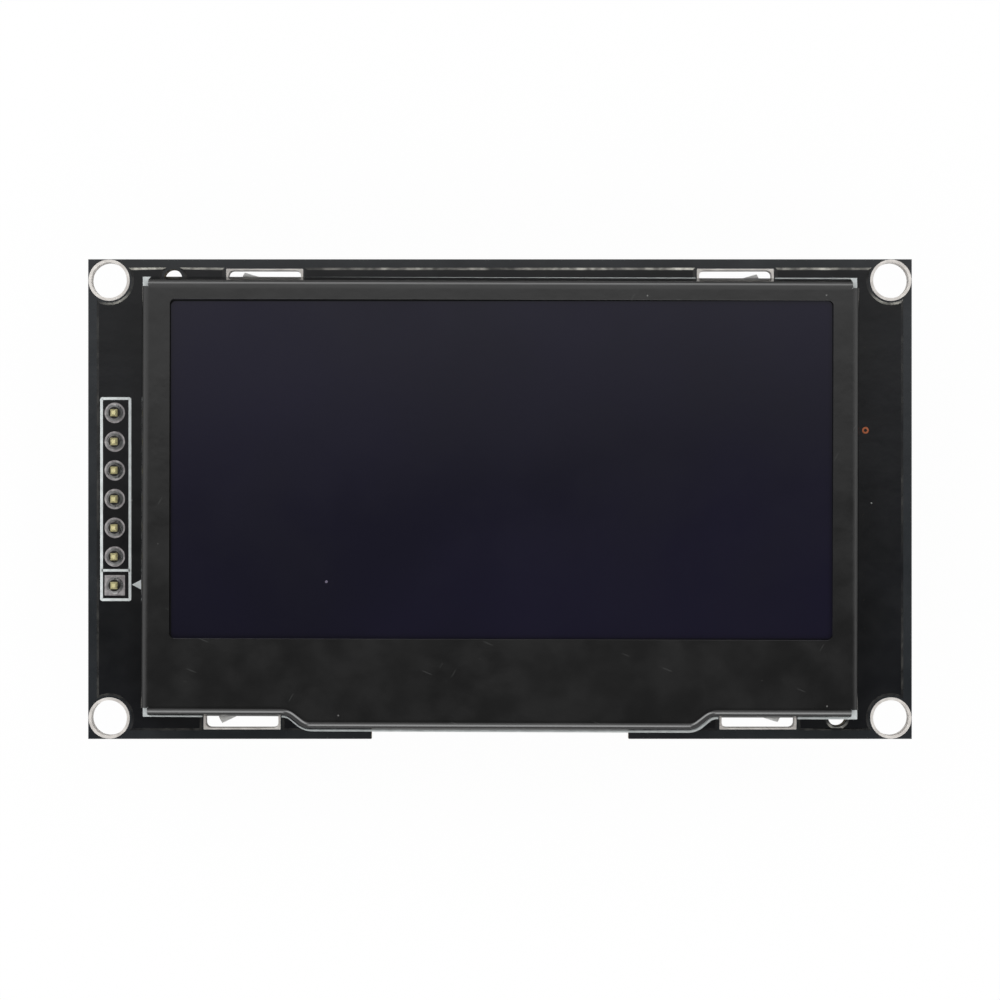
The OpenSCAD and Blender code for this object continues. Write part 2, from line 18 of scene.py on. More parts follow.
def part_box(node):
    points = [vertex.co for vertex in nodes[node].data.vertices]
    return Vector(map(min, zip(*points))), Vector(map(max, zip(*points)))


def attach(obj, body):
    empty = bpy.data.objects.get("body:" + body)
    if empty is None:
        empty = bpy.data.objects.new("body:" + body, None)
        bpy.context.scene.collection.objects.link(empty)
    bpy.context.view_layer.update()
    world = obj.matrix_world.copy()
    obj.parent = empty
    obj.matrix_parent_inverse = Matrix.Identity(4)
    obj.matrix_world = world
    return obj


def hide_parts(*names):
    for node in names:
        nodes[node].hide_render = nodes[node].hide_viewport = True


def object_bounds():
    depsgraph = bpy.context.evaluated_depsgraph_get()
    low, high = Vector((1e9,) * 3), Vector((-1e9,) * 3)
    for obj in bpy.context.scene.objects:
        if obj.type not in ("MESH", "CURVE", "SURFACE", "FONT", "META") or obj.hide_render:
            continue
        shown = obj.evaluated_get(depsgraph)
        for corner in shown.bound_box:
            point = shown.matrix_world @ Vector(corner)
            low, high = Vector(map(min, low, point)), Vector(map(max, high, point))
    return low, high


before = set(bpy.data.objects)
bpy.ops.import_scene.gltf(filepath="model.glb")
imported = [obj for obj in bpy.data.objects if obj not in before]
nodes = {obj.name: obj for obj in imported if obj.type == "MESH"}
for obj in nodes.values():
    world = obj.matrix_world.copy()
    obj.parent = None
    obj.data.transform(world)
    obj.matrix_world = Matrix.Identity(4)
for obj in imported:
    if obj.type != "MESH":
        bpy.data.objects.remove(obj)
cad_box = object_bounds()
MM = 0.001


def box_mm(node):
    low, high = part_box(node)
    return low / MM, high / MM


board_low, board_high = box_mm("circuit_board")
bezel_low, bezel_high = box_mm("bezel")
pin_low, pin_high = box_mm("header_pins")
back_z = board_low.z
print("board", [round(v, 2) for v in board_high - board_low], "mm")

# %% [markdown]
# ## Camera
#
# The module is looked at from straight above its screen. An orthographic camera would
# show board and screen at one scale. A long lens from 330 mm away still keeps the
# board's edges parallel, yet the screen, which stands nearly 3 mm higher than the board,
# looks a little larger, as it does on a real close-up.

# %% Camera
VIEW_DISTANCE = 330
VIEW_WIDTH = 88.4
VIEW_SHIFT = -0.08
SENSOR = 36
camera_data = bpy.data.cameras.new("camera")
camera_data.sensor_width = SENSOR
camera_data.lens = SENSOR * VIEW_DISTANCE / VIEW_WIDTH
camera_data.clip_start = 0.01
camera_data.clip_end = 10
camera = bpy.data.objects.new("camera", camera_data)
camera.location = (0, VIEW_SHIFT * MM, VIEW_DISTANCE * MM)
bpy.context.scene.collection.objects.link(camera)
bpy.context.scene.camera = camera
bpy.context.scene.view_settings.view_transform = "Standard"
print("camera: lens", round(camera_data.lens, 1), "mm from", VIEW_DISTANCE, "mm away")

# %% [markdown]
# ## Light
#
# Gloss shows what stands round the object. Area lamps would draw hard patches in it, so
# the world itself is built like a light tent: a dark opening overhead, a little towards
# the front, pale walls, and brighter walls in front and behind. Flat black surfaces
# mirror the opening and look deep, and the folds mirror the walls and draw thin bright
# lines. Four lamps high in the tent's corners light what leans both ways. Below them the
# corners are dark, so that the screen stays deep in a low view. Rays from the camera see
# plain white.


# %% World
def socket_of(sockets, name):
    return next(s for s in sockets if s.name == name and s.enabled)


class Nodes:
    """Short calls for adding and joining nodes in one tree."""

    def __init__(self, tree):
        self.tree = tree

    def add(self, kind, *values, **settings):
        node = self.tree.nodes.new(kind)
        for key, value in settings.items():
            setattr(node, key, value)
        for i, value in enumerate(values):
            self.put(value, node.inputs[i])
        return node

    def put(self, value, socket):
        if value is None:
            return
        if isinstance(value, bpy.types.NodeSocket):
            self.tree.links.new(value, socket)
        elif isinstance(value, bpy.types.Node):
            self.tree.links.new(value.outputs[0], socket)
        else:
            socket.default_value = value

    def fill(self, node, **values):
        for key, value in values.items():
            self.put(value, node.inputs[key.replace("_", " ")])
        return node

    def math(self, operation, *values):
        return self.add("ShaderNodeMath", *values, operation=operation).outputs[0]

    def ramp(self, value, low, high, to_low=0.0, to_high=1.0, smooth=True):
        node = self.add("ShaderNodeMapRange", value, low, high, to_low, to_high)
        node.interpolation_type = "SMOOTHSTEP" if smooth else "LINEAR"
        return node.outputs[0]

    def mix(self, factor, first, second):
        node = self.add("ShaderNodeMix", data_type="RGBA")
        self.fill(node, Factor=factor)
        self.put(first, socket_of(node.inputs, "A"))
        self.put(second, socket_of(node.inputs, "B"))
        return socket_of(node.outputs, "Result")


OPENING_AT, OPENING_SQUEEZE, OPENING_EDGE = (0.03, -0.24, 0), 0.25, (0.24, 0.3)
DARK, PALE = 0.1, 0.65
WALL_EDGE, BEHIND, IN_FRONT = (0.45, 0.9), (0.1, 1.3), (0.0, 2.2)
CORNER_EDGE, LAMP_TOP, LAMP_FOOT = (0.12, 0.22), (0.85, 0.75), (0.4, 0.55)
LAMP, CORNER_DIMMING = 3.0, -0.8
world = bpy.data.worlds.new("light_tent")
world.use_nodes = True
bpy.context.scene.world = world
world.node_tree.nodes.clear()
w = Nodes(world.node_tree)
direction = w.add("ShaderNodeTexCoord").outputs["Generated"]
parts = w.add("ShaderNodeSeparateXYZ", direction)
sideways, onward, upward = parts.outputs
flat = w.add("ShaderNodeCombineXYZ", w.math("MULTIPLY", sideways, OPENING_SQUEEZE), onward, 0.0)
from_centre = w.add("ShaderNodeVectorMath", flat, OPENING_AT, operation="DISTANCE")
ceiling = w.ramp(from_centre.outputs["Value"], *OPENING_EDGE, DARK, PALE, smooth=False)
low_down = w.ramp(upward, 0.65, 0.35)
behind = w.ramp(onward, *WALL_EDGE, *BEHIND)
in_front = w.ramp(w.math("MULTIPLY", onward, -1.0), *WALL_EDGE, *IN_FRONT)
walls_light = w.math("MULTIPLY", low_down, w.math("ADD", behind, in_front))
corner = w.ramp(w.math("ABSOLUTE", w.math("MULTIPLY", sideways, onward)), *CORNER_EDGE)
lamp_band = w.math("MULTIPLY", w.ramp(upward, *LAMP_TOP), w.ramp(upward, *LAMP_FOOT))
lamps = w.math("MULTIPLY", w.math("MULTIPLY", corner, lamp_band), LAMP)
low_corner = w.math("MULTIPLY", corner, w.ramp(upward, 0.5, 0.35))
kept = w.math("ADD", w.math("MULTIPLY", low_corner, CORNER_DIMMING), 1.0)
tent = w.math("MULTIPLY", w.math("ADD", ceiling, walls_light), kept)
total = w.math("ADD", tent, lamps)
seen = w.add("ShaderNodeLightPath").outputs["Is Camera Ray"]
strength = w.math("ADD", w.math("MULTIPLY", total, w.math("SUBTRACT", 1.0, seen)), seen)
background = w.add("ShaderNodeBackground", (1, 1, 1, 1), strength)
w.add("ShaderNodeOutputWorld", background)
print("world:", len(world.node_tree.nodes), "nodes")

# %% [markdown]
# ## Floor
#
# A plain pale floor lies just under the pins. A floor that is lit until it turns white
# would flood the black board with light, so the floor glows white for the camera alone,
# and a small share of plain shading keeps a breath of the module's soft shadow.

# %% Floor
FLOOR_HALF, FLOOR_GAP = 1.5, 0.05
SEEN_WHITE, SHED_WHITE = 0.97, 0.6
floor_z = cad_box[0][2] - FLOOR_GAP * MM
floor_mesh = bpy.data.meshes.new("floor")
floor_mesh.from_pydata([(x * FLOOR_HALF, y * FLOOR_HALF, floor_z)
                        for x, y in ((-1, -1), (1, -1), (1, 1), (-1, 1))], [], [(0, 1, 2, 3)])
floor = bpy.data.objects.new("floor", floor_mesh)
bpy.context.scene.collection.objects.link(floor)
floor_material = bpy.data.materials.new("floor")
floor_material.use_nodes = True
floor_material.node_tree.nodes.clear()
n = Nodes(floor_material.node_tree)
path = n.add("ShaderNodeLightPath")
dimmed = n.mix(path.outputs["Is Glossy Ray"], (0.8, 0.8, 0.8, 1), (0.3, 0.3, 0.3, 1))
shaded = n.add("ShaderNodeBsdfDiffuse", dimmed)
white = n.add("ShaderNodeEmission", (1, 1, 1, 1), 1.0)
share = n.math(
    "MAXIMUM",
    n.math("MULTIPLY", path.outputs["Is Camera Ray"], SEEN_WHITE),
    n.math("MULTIPLY", path.outputs["Is Diffuse Ray"], SHED_WHITE),
)
n.add("ShaderNodeOutputMaterial", n.add("ShaderNodeMixShader", share, shaded, white))
floor_mesh.materials.append(floor_material)
print("floor at", round(floor_z / MM, 2), "mm")

# %% [markdown]
# ## Shared surface effects
#
# No real surface is quite even. Each finish could have noise nodes of its own, but four
# small node groups serve them all. One makes a value uneven, one scatters specks of
# dust, one draws hairline scratches and one gives a fine grain to the surface's normal.
# Each is built once, with named inputs.


# %% Node groups
def group(name, inputs, outputs):
    tree = bpy.data.node_groups.new(name, "ShaderNodeTree")
    for label, kind, value in inputs:
        socket = tree.interface.new_socket(label, in_out="INPUT", socket_type=kind)
        if value is not None:
            socket.default_value = value
    for label, kind in outputs:
        tree.interface.new_socket(label, in_out="OUTPUT", socket_type=kind)
    g = Nodes(tree)
    return g, g.add("NodeGroupInput").outputs, g.add("NodeGroupOutput").inputs


FLOAT, VECTOR = "NodeSocketFloat", "NodeSocketVector"
HAIR_LENGTH, HAIR_WIDTH = 14.0, 0.13

g, given, result = group(
    "uneven",
    [("Vector", VECTOR, None), ("Scale", FLOAT, 500.0), ("Low", FLOAT, 0.3), ("High", FLOAT, 0.5)],
    [("Value", FLOAT)],
)
noise = g.fill(g.add("ShaderNodeTexNoise"), Vector=given["Vector"], Scale=given["Scale"],
               Detail=3.0)
g.put(g.ramp(noise.outputs[0], 0.3, 0.7, given["Low"], given["High"]), result["Value"])
UNEVEN = g.tree


def marks(g, cells, size, share):
    """Mask of the chosen share of the cells, each up to a size from its middle."""
    near = g.math("LESS_THAN", cells.outputs["Distance"], size)
    chance = g.add("ShaderNodeSeparateColor", cells.outputs["Color"]).outputs[0]
    return g.math("MULTIPLY", near, g.math("LESS_THAN", chance, share))


g, given, result = group(
    "dust",
    [("Vector", VECTOR, None), ("Scale", FLOAT, 300.0), ("Size", FLOAT, 0.06),
     ("Share", FLOAT, 0.1)],
    [("Mask", FLOAT)],
)
cells = g.fill(g.add("ShaderNodeTexVoronoi"), Vector=given["Vector"], Scale=given["Scale"])
g.put(marks(g, cells, given["Size"], given["Share"]), result["Mask"])
DUST = g.tree

g, given, result = group(
    "scratches",
    [("Vector", VECTOR, None), ("Turn", FLOAT, 0.5), ("Scale", FLOAT, 60.0),
     ("Share", FLOAT, 0.1)],
    [("Mask", FLOAT)],
)
turned = g.fill(g.add("ShaderNodeVectorRotate", rotation_type="Z_AXIS"),
                Vector=given["Vector"], Angle=given["Turn"])
stretched = g.add("ShaderNodeVectorMath", turned, (1.0, HAIR_LENGTH, 1.0), operation="MULTIPLY")
cells = g.fill(g.add("ShaderNodeTexVoronoi"), Vector=stretched, Scale=given["Scale"])
g.put(marks(g, cells, HAIR_WIDTH, given["Share"]), result["Mask"])
SCRATCHES = g.tree

g, given, result = group(
    "grain",
    [("Vector", VECTOR, None), ("Scale", FLOAT, 3000.0), ("Detail", FLOAT, 4.0),
     ("Depth", FLOAT, 0.00001)],
    [("Normal", VECTOR)],
)
noise = g.fill(g.add("ShaderNodeTexNoise"), Vector=given["Vector"], Scale=given["Scale"],
               Detail=given["Detail"])
bump = g.fill(g.add("ShaderNodeBump"), Distance=given["Depth"], Height=noise.outputs[0])
g.put(bump, result["Normal"])
GRAIN = g.tree
print("node groups:", [t.name for t in (UNEVEN, DUST, SCRATCHES, GRAIN)])

# %% [markdown]
# ## Finishes
#
# Each finish is a Principled shader whose colour, roughness and normal come from the
# groups. The textures read Object coordinates, which are metres here, so a scale of
# 1000 gives features of about a millimetre.


# %% Helpers for finishes
def srgb(red, green, blue):
    """Linear colour of a paint sample given in the usual 0 to 255 values."""
    line = [c / 255 / 12.92 if c < 10.3 else ((c / 255 + 0.055) / 1.055) ** 2.4
            for c in (red, green, blue)]
    return (*line, 1)


class Finish(Nodes):
    """A material with one Principled shader and Object coordinates at hand."""

    def __init__(self, name, colour, metallic=0.0, **plain):
        self.material = bpy.data.materials.new(name)
        self.material.use_nodes = True
        super().__init__(self.material.node_tree)
        self.shader = self.tree.nodes["Principled BSDF"]
        self.at = self.add("ShaderNodeTexCoord").outputs["Object"]
        self.shader.inputs["Base Color"].default_value = colour
        self.shader.inputs["Metallic"].default_value = metallic
        self.set(**plain)

    def set(self, **values):
        self.fill(self.shader, **values)

    def use(self, tree, **values):
        node = self.add("ShaderNodeGroup", node_tree=tree)
        return self.fill(node, Vector=self.at, **values).outputs[0]


def simple(name, light, dark, rough=(0.4, 0.6), scale=900.0, grain=3000.0, depth=1e-5,
           metallic=0.0, **plain):
    """Two close shades in soft patches, uneven roughness and a fine grain."""
    light, dark = srgb(*light), srgb(*dark)
    f = Finish(name, light, metallic, **plain)
    patches = f.use(UNEVEN, Scale=scale, Low=0.0, High=1.0)
    f.set(Base_Color=f.mix(patches, dark, light),
          Roughness=f.use(UNEVEN, Scale=scale * 1.7, Low=rough[0], High=rough[1]),
          Normal=f.use(GRAIN, Scale=grain, Depth=depth))
    return f.material


# %% [markdown]
# ### Circuit board
#
# The faces wear a glossy black solder mask. On the cut edges the laminate shows: cream
# resin with fine layers of glass cloth. Two materials could be laid on the faces one by
# one, but here one material serves both, because the face's own normal tells them apart.
# The mask is made twice: a greyer one over bare laminate, and a deeper one over copper, whose
# sloped rims that face +y carry a painted highlight, a broken light line.

# %% Circuit board finish
LAYER = 0.00018
EDGE_ROUGH = 0.75


def mask_finish(name, low, high, ior, glint):
    """Black mask on the faces, laminate on the cut edges, a painted highlight on sloped rims that
    face +y.
    """
    f = Finish(name, srgb(11, 12, 12), IOR=ior)
    normal = f.add("ShaderNodeNewGeometry").outputs["Normal"]
    _, facing, up = f.add("ShaderNodeSeparateXYZ", normal).outputs
    edge = f.math("LESS_THAN", f.math("ABSOLUTE", up), 0.5)
    height = f.add("ShaderNodeSeparateXYZ", f.at).outputs[2]
    layers = f.math("SINE", f.math("MULTIPLY", height, 2 * math.pi / LAYER))
    laminate = f.mix(f.ramp(layers, -0.6, 0.6), srgb(96, 84, 58), srgb(128, 116, 86))
    colour = f.mix(f.use(UNEVEN, Scale=160.0, Low=0.0, High=1.0), srgb(*low), srgb(*high))
    colour = f.mix(f.use(DUST, Scale=520.0, Size=0.05, Share=0.1), colour, srgb(120, 122, 120))
    # Painted highlight: a light colour on the sloped rims that face +y, broken in patches.
    sloped = f.math("MULTIPLY", f.ramp(f.math("ABSOLUTE", up), 0.999, 0.99),
                    f.ramp(facing, 0.06, 0.14, 0.06, 1.0))
    painted_glint = f.math("MULTIPLY", f.use(UNEVEN, Scale=210.0, Low=0.0, High=glint),
                  f.use(UNEVEN, Scale=1500.0, Low=0.3, High=1.0))
    painted_glint = f.math("MULTIPLY", sloped, painted_glint)
    colour = f.mix(painted_glint, colour, srgb(216, 214, 204))
    f.set(Base_Color=f.mix(edge, colour, laminate),
          Roughness=f.math("MAXIMUM", f.math("MULTIPLY", edge, EDGE_ROUGH),
                           f.use(UNEVEN, Scale=400.0, Low=0.14, High=0.2)),
          Normal=f.use(GRAIN, Scale=220.0, Detail=6.0, Depth=2.5e-5))
    return f.material


BOARD = mask_finish("mask_on_laminate", (24, 27, 30), (32, 35, 38), 1.6, 0.0)
COPPER_MASK = mask_finish("mask_on_copper", (8, 9, 11), (14, 15, 18), 1.5, 1.0)
print("masks:", BOARD.name, COPPER_MASK.name)

# %% [markdown]
# ### Bezel
#
# Thin steel with a black coat of semi-gloss lacquer. A plain black shader would look like plastic.
# The coat here has a satin grain, some hairline scratches and a little dust, all from the shared
# groups. The tabs behind the board get a near-white steel finish: twisting them cracks the coat,
# and the light colour is also a painted reflection of the pale floor, which their steep faces
# mirror.

# %% Bezel finish
f = Finish("black_lacquer", srgb(6, 6, 6), IOR=1.85)
coat = f.mix(f.use(UNEVEN, Scale=150.0, Low=0.0, High=1.0), srgb(3, 3, 3), srgb(9, 9, 9))
hair = f.math("MAXIMUM", f.use(SCRATCHES, Turn=0.4, Scale=260.0, Share=0.05),
              f.use(SCRATCHES, Turn=2.1, Scale=330.0, Share=0.04))
coat = f.mix(f.math("MULTIPLY", hair, 0.14), coat, srgb(120, 122, 120))
coat = f.mix(f.use(DUST, Scale=700.0, Size=0.05, Share=0.1), coat, srgb(96, 96, 94))
f.set(Base_Color=coat, Roughness=f.use(UNEVEN, Scale=300.0, Low=0.14, High=0.2),
      Normal=f.use(GRAIN, Scale=160.0, Detail=7.0, Depth=3.5e-5))
LACQUER = f.material
# Near-white steel for the twisted tabs: partly bare steel where the coat cracks, partly a painted
# reflection of the pale floor.
TAB_STEEL_AND_PAINTED_REFLECTION = simple("worn_steel", (236, 236, 234), (190, 190, 188), metallic=0.2)
print("bezel finishes:", LACQUER.name, TAB_STEEL_AND_PAINTED_REFLECTION.name)

# %% [markdown]
# ### Screen
#
# The polarising film over the unlit display is almost black, with a blue violet cast
# and a smooth gloss. It could be clear film over dark glass, but the film lets so little
# through that one dark shader looks the same and exports better. Dust and faint wipe
# marks break the gloss here and there.

# %% Screen finish
f = Finish("polarising_film", srgb(18, 16, 26), IOR=1.42)
film = f.mix(f.use(UNEVEN, Scale=40.0, Low=0.0, High=1.0), srgb(17, 16, 27), srgb(19, 17, 32))
film = f.mix(f.use(DUST, Scale=260.0, Size=0.045, Share=0.06), film, srgb(95, 90, 105))
f.set(Base_Color=film, Roughness=f.use(UNEVEN, Scale=120.0, Low=0.06, High=0.12),
      Normal=f.use(GRAIN, Scale=900.0, Depth=6e-7))
FILM = f.material
print("screen finish:", FILM.name)

# %% [markdown]
# ### Plain finishes
#
# The small parts need less: each has two close shades in soft patches, an uneven
# roughness and a fine grain. One function makes them all, so every row below gives only
# what sets a finish apart, such as how dull the tin is or how deep the foam's pores are.

# %% Plain finishes
GLASS = simple("display_glass", (60, 66, 70), (52, 58, 62), (0.04, 0.08), depth=1e-7)
SEALED_GLASS = simple("sealed_glass", (86, 92, 92), (76, 82, 82), (0.05, 0.1), depth=1e-7)
DESICCANT = simple("drying_sheet", (222, 220, 210), (206, 204, 194), (0.8, 0.95))
FOAM = simple("foam_tape", (40, 40, 38), (28, 28, 27), (0.85, 0.95), grain=5000.0, depth=4e-5)
SILICON = simple("silicon", (96, 98, 104), (84, 86, 92), (0.12, 0.2), metallic=0.7)
SOLDER = simple("solder", (196, 197, 196), (168, 169, 168), (0.22, 0.42), depth=2e-5,
                metallic=1.0)
TIN = simple("tinned_copper", (229, 225, 220), (204, 199, 194), (0.3, 0.5), depth=1.5e-5,
             metallic=0.4)
PAD_TIN = simple("dull_tin", (182, 178, 178), (140, 136, 137), scale=2500.0, depth=2.5e-5,
                 metallic=0.6)
COPPER = simple("bare_copper", (196, 118, 84), (160, 92, 66), (0.3, 0.45), metallic=1.0)
# Black finish of the painted shade frame in the window.
SHADE_FRAME_FINISH = simple("black_glue", (10, 10, 10), (6, 6, 6), (0.6, 0.8), IOR=1.2)
# Dark finish of the painted shade round the pins.
PIN_SHADE_FINISH = simple("burnt_flux", (16, 13, 10), (8, 7, 6), (0.3, 0.5))
INK = simple("white_ink", (206, 211, 211), (188, 193, 193), (0.5, 0.65), scale=1500.0,
             depth=8e-6)
HEADER_PLASTIC = simple("header_plastic", (24, 24, 24), (17, 17, 17), (0.45, 0.6))
GOLD = simple("gold_flash", (230, 222, 170), (222, 212, 156), (0.22, 0.32), metallic=0.5,
              depth=2e-6)
CHIP_PLASTIC = simple("chip_plastic", (38, 38, 39), (30, 30, 31), (0.55, 0.7), grain=9000.0)
LEAD_TIN = simple("lead_tin", (200, 201, 202), (176, 177, 178), (0.28, 0.42), metallic=1.0)
FERRITE = simple("ferrite", (74, 74, 77), (58, 58, 61), (0.5, 0.75), grain=7000.0, depth=2e-5)
CERAMIC = simple("capacitor_ceramic", (178, 142, 98), (160, 126, 84), (0.4, 0.55), depth=8e-6)
RESISTOR = simple("resistor_glaze", (30, 30, 33), (22, 22, 25), (0.25, 0.4), depth=4e-6)
WIRE = simple("enamelled_wire", (196, 108, 54), (150, 76, 34), (0.25, 0.4), metallic=0.8)
print("materials so far:", len(bpy.data.materials))

# %% [markdown]
# ### Flex cable
#
# The flex cable is amber film laid over fine copper lines. The lines could be cut as
# shapes, but they lie under the film and can't be felt, so a wave along x draws them.

# %% Flex cable finish
LINE_PITCH = 0.0008
f = Finish("amber_film", srgb(150, 96, 34))
across = f.add("ShaderNodeSeparateXYZ", f.at).outputs[0]
stripes = f.ramp(f.math("SINE", f.math("MULTIPLY", across, 2 * math.pi / LINE_PITCH)), -0.1, 0.25)
f.set(Base_Color=f.mix(stripes, srgb(120, 72, 24), srgb(190, 128, 58)),
      Roughness=f.use(UNEVEN, Scale=500.0, Low=0.22, High=0.34),
      Normal=f.use(GRAIN, Scale=800.0, Depth=4e-6))
FLEX = f.material
print("cable finish:", FLEX.name)

# %% [markdown]
# ### Finishes on the solids
#
# Most solids already have their true shape, so they stay as they are and only get a
# finish in their material slot.

# %% Finishes on the CAD solids
CAD_FINISH = {
    "circuit_board": BOARD, "bezel": LACQUER, "polariser": FILM, "front_glass": GLASS,
    "rear_glass": SEALED_GLASS, "desiccant_sheet": DESICCANT, "mounting_tape": FOAM,
    "driver_chip": SILICON, "flex_cable": FLEX, "flex_solder": SOLDER,
    "header_strip": HEADER_PLASTIC, "header_pins": GOLD, "header_solder": SOLDER,
    "boost_converter": CHIP_PLASTIC, "boost_converter_leads": LEAD_TIN,
    "voltage_regulator": CHIP_PLASTIC, "voltage_regulator_leads": LEAD_TIN,
    "schottky_diode": CHIP_PLASTIC, "schottky_diode_leads": LEAD_TIN,
    "inductor_core": FERRITE, "inductor_winding": WIRE, "capacitors": CERAMIC,
    "capacitor_caps": SOLDER, "resistors": RESISTOR, "resistor_caps": SOLDER,
}
for name, finish in CAD_FINISH.items():
    nodes[name].data.materials.clear()
    nodes[name].data.materials.append(finish)
print("finished", len(CAD_FINISH), "solids of", len(nodes))

# %% [markdown]
# ## Shapes in mesh code
#
# Stacked cubes and cylinders would leave seams and hidden faces. The added pieces are
# meshes with closed, outward surfaces instead, and a few helpers cover most of them: a
# finished object from a mesh, a flat plate with holes, and outlines such as circles and
# rounded rectangles.


# %% Helpers for pieces
def piece(name, mesh, material=None, sharp=35):
    if material:
        mesh.materials.clear()
        mesh.materials.append(material)
    mesh.shade_smooth()
    mesh.set_sharp_from_angle(angle=math.radians(sharp))
    obj = bpy.data.objects.new(name, mesh)
    bpy.context.scene.collection.objects.link(obj)
    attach(obj, "root")
    print(name, len(mesh.polygons), "faces")
    return obj


def mesh_from(bm, name):
    bmesh.ops.recalc_face_normals(bm, faces=bm.faces)
    mesh = bpy.data.meshes.new(name)
    bm.to_mesh(mesh)
    bm.free()
    return mesh


def circle(x, y, radius, steps=32):
    turn = [2 * math.pi * i / steps for i in range(steps)]
    return [(x + radius * math.cos(a), y + radius * math.sin(a)) for a in turn]


def rounded(x, y, width, height, radius, steps=6):
    points = []
    for quarter, (sx, sy) in enumerate(((1, 1), (-1, 1), (-1, -1), (1, -1))):
        for i in range(steps + 1):
            a = math.pi / 2 * (quarter + i / steps)
            points.append((x + sx * (width / 2 - radius) + radius * math.cos(a),
                           y + sy * (height / 2 - radius) + radius * math.sin(a)))
    return points


def ring_edges(bm, points, z):
    verts = [bm.verts.new((x * MM, y * MM, z * MM)) for x, y in points]
    edges = [bm.edges.new((a, b)) for a, b in zip(verts, verts[1:] + verts[:1])]
    return verts, edges


def bridge(bm, first, second):
    for i in range(len(first)):
        j = (i + 1) % len(first)
        bm.faces.new((first[i], first[j], second[j], second[i]))


def plate(bm, outline, holes, low, high):
    """Closed flat plate between two levels."""
    rows = []
    for z in (low, high):
        made = [ring_edges(bm, loop, z) for loop in [outline, *holes]]
        bmesh.ops.triangle_fill(bm, edges=[e for _, edges in made for e in edges], use_beauty=True)
        rows.append([verts for verts, _ in made])
    for lower, upper in zip(*rows):
        bridge(bm, lower, upper)


# %% [markdown]
# ## The folded bezel
#
# The CAD solid has the bezel's true size with coarse facets in its curves, so this
# piece stands in for it. A press folds all four walls round one radius. Bevelling a box
# would round every edge alike, so the mesh follows the press: stations run round the
# fold line, each with an outward direction, and the same bent section hangs from each.
# The lower wall swells outward to clear the flex cable. The long walls lean out a
# little, and the real frame sits a hair askew on its board.

# %% Bezel's sizes
SHEET = 0.3
BEND = 0.7
LEAN = math.radians(10)
LEAN_LOW, LEAN_SWELL = math.radians(6), math.radians(8)
LEAN_ENDS, LEAN_CHANGES = 20.2, 3.4
FOOT_SOFT = 0.04
RELIEF, MITRE = 0.02, 0.12
UPPER_GAP, LOWER_GAP = 0.4, 0.21
SWELL = 1.16
SWELL_HALF = 16.6
SWELL_ANGLE = math.radians(38)
OUTER_R, INNER_R = 1.0, 2.0
ASKEW = math.radians(-0.17)
face_z = bezel_high.z
under_z = face_z - SHEET
bend_z = face_z - BEND
glass_low, glass_high = box_mm("front_glass")
fold_x = bezel_high.x - BEND
fold_top = glass_high.y + UPPER_GAP + SHEET - BEND
fold_bottom = glass_low.y - LOWER_GAP - SHEET + BEND
fold_swell = fold_bottom - SWELL
print("folds at x", round(fold_x, 2), "y", round(fold_bottom, 2), "to", round(fold_top, 2))


def foot_out(lean):
    """How far a wall's foot stands outside its fold line."""
    return BEND * math.cos(lean) + (bend_z + BEND * math.sin(lean)) * math.tan(lean)


def lower_lean(x):
    """The lower wall stands steeper beside the swell than in it."""
    share = min(1, max(0, (LEAN_ENDS - abs(x)) / LEAN_CHANGES))
    return LEAN_LOW + (LEAN_SWELL - LEAN_LOW) * share * share * (3 - 2 * share)


def outward(angle):
    return Vector((math.sin(angle), -math.cos(angle)))


def lower_path(steps=14):
    """Fold line of the lower wall from left to right, as (place, outward)."""
    outer_centre = Vector((SWELL_HALF, fold_swell + OUTER_R))
    run = (SWELL - (OUTER_R + INNER_R) * (1 - math.cos(SWELL_ANGLE))) / math.sin(SWELL_ANGLE)
    ramp_end = (outer_centre + OUTER_R * outward(SWELL_ANGLE)
                + run * Vector((math.cos(SWELL_ANGLE), math.sin(SWELL_ANGLE))))
    inner_centre = ramp_end + INNER_R * outward(SWELL_ANGLE)
    angles = [SWELL_ANGLE * i / steps for i in range(steps + 1)]
    right = [(outer_centre + OUTER_R * outward(a), outward(a)) for a in angles]
    right += [(inner_centre - INNER_R * outward(a), outward(a)) for a in reversed(angles)]
    right.append((Vector((fold_x - RELIEF, fold_bottom)), outward(0)))
    left = [(Vector((-p.x, p.y)), Vector((-o.x, o.y))) for p, o in reversed(right)]
    return left + right


def section(lean, steps=14):
    """Bent section from just past the fold line to just before it: (out, height)."""
    turn = math.pi / 2 - lean
    out = foot_out(lean)
    arc = [math.pi / 2 - turn * i / steps for i in range(steps + 1)]
    inner, soft = BEND - SHEET, FOOT_SOFT
    thick = SHEET / math.cos(lean)
    return (
        [(BEND * math.cos(a), bend_z + BEND * math.sin(a)) for a in arc[1:]]
        + [(out, soft), (out - soft / 2, 0), (out - thick + soft / 2, 0), (out - thick, soft)]
        + [(inner * math.cos(a), bend_z + inner * math.sin(a)) for a in reversed(arc[1:])]
    )


# %% Bezel's mesh
def end_step(path_points, i):
    """Direction past the end of a wall, or nothing between its ends."""
    out = path_points[i][1]
    return {0: -1, len(path_points) - 1: 1}.get(i, 0) * Vector((-out.y, out.x))


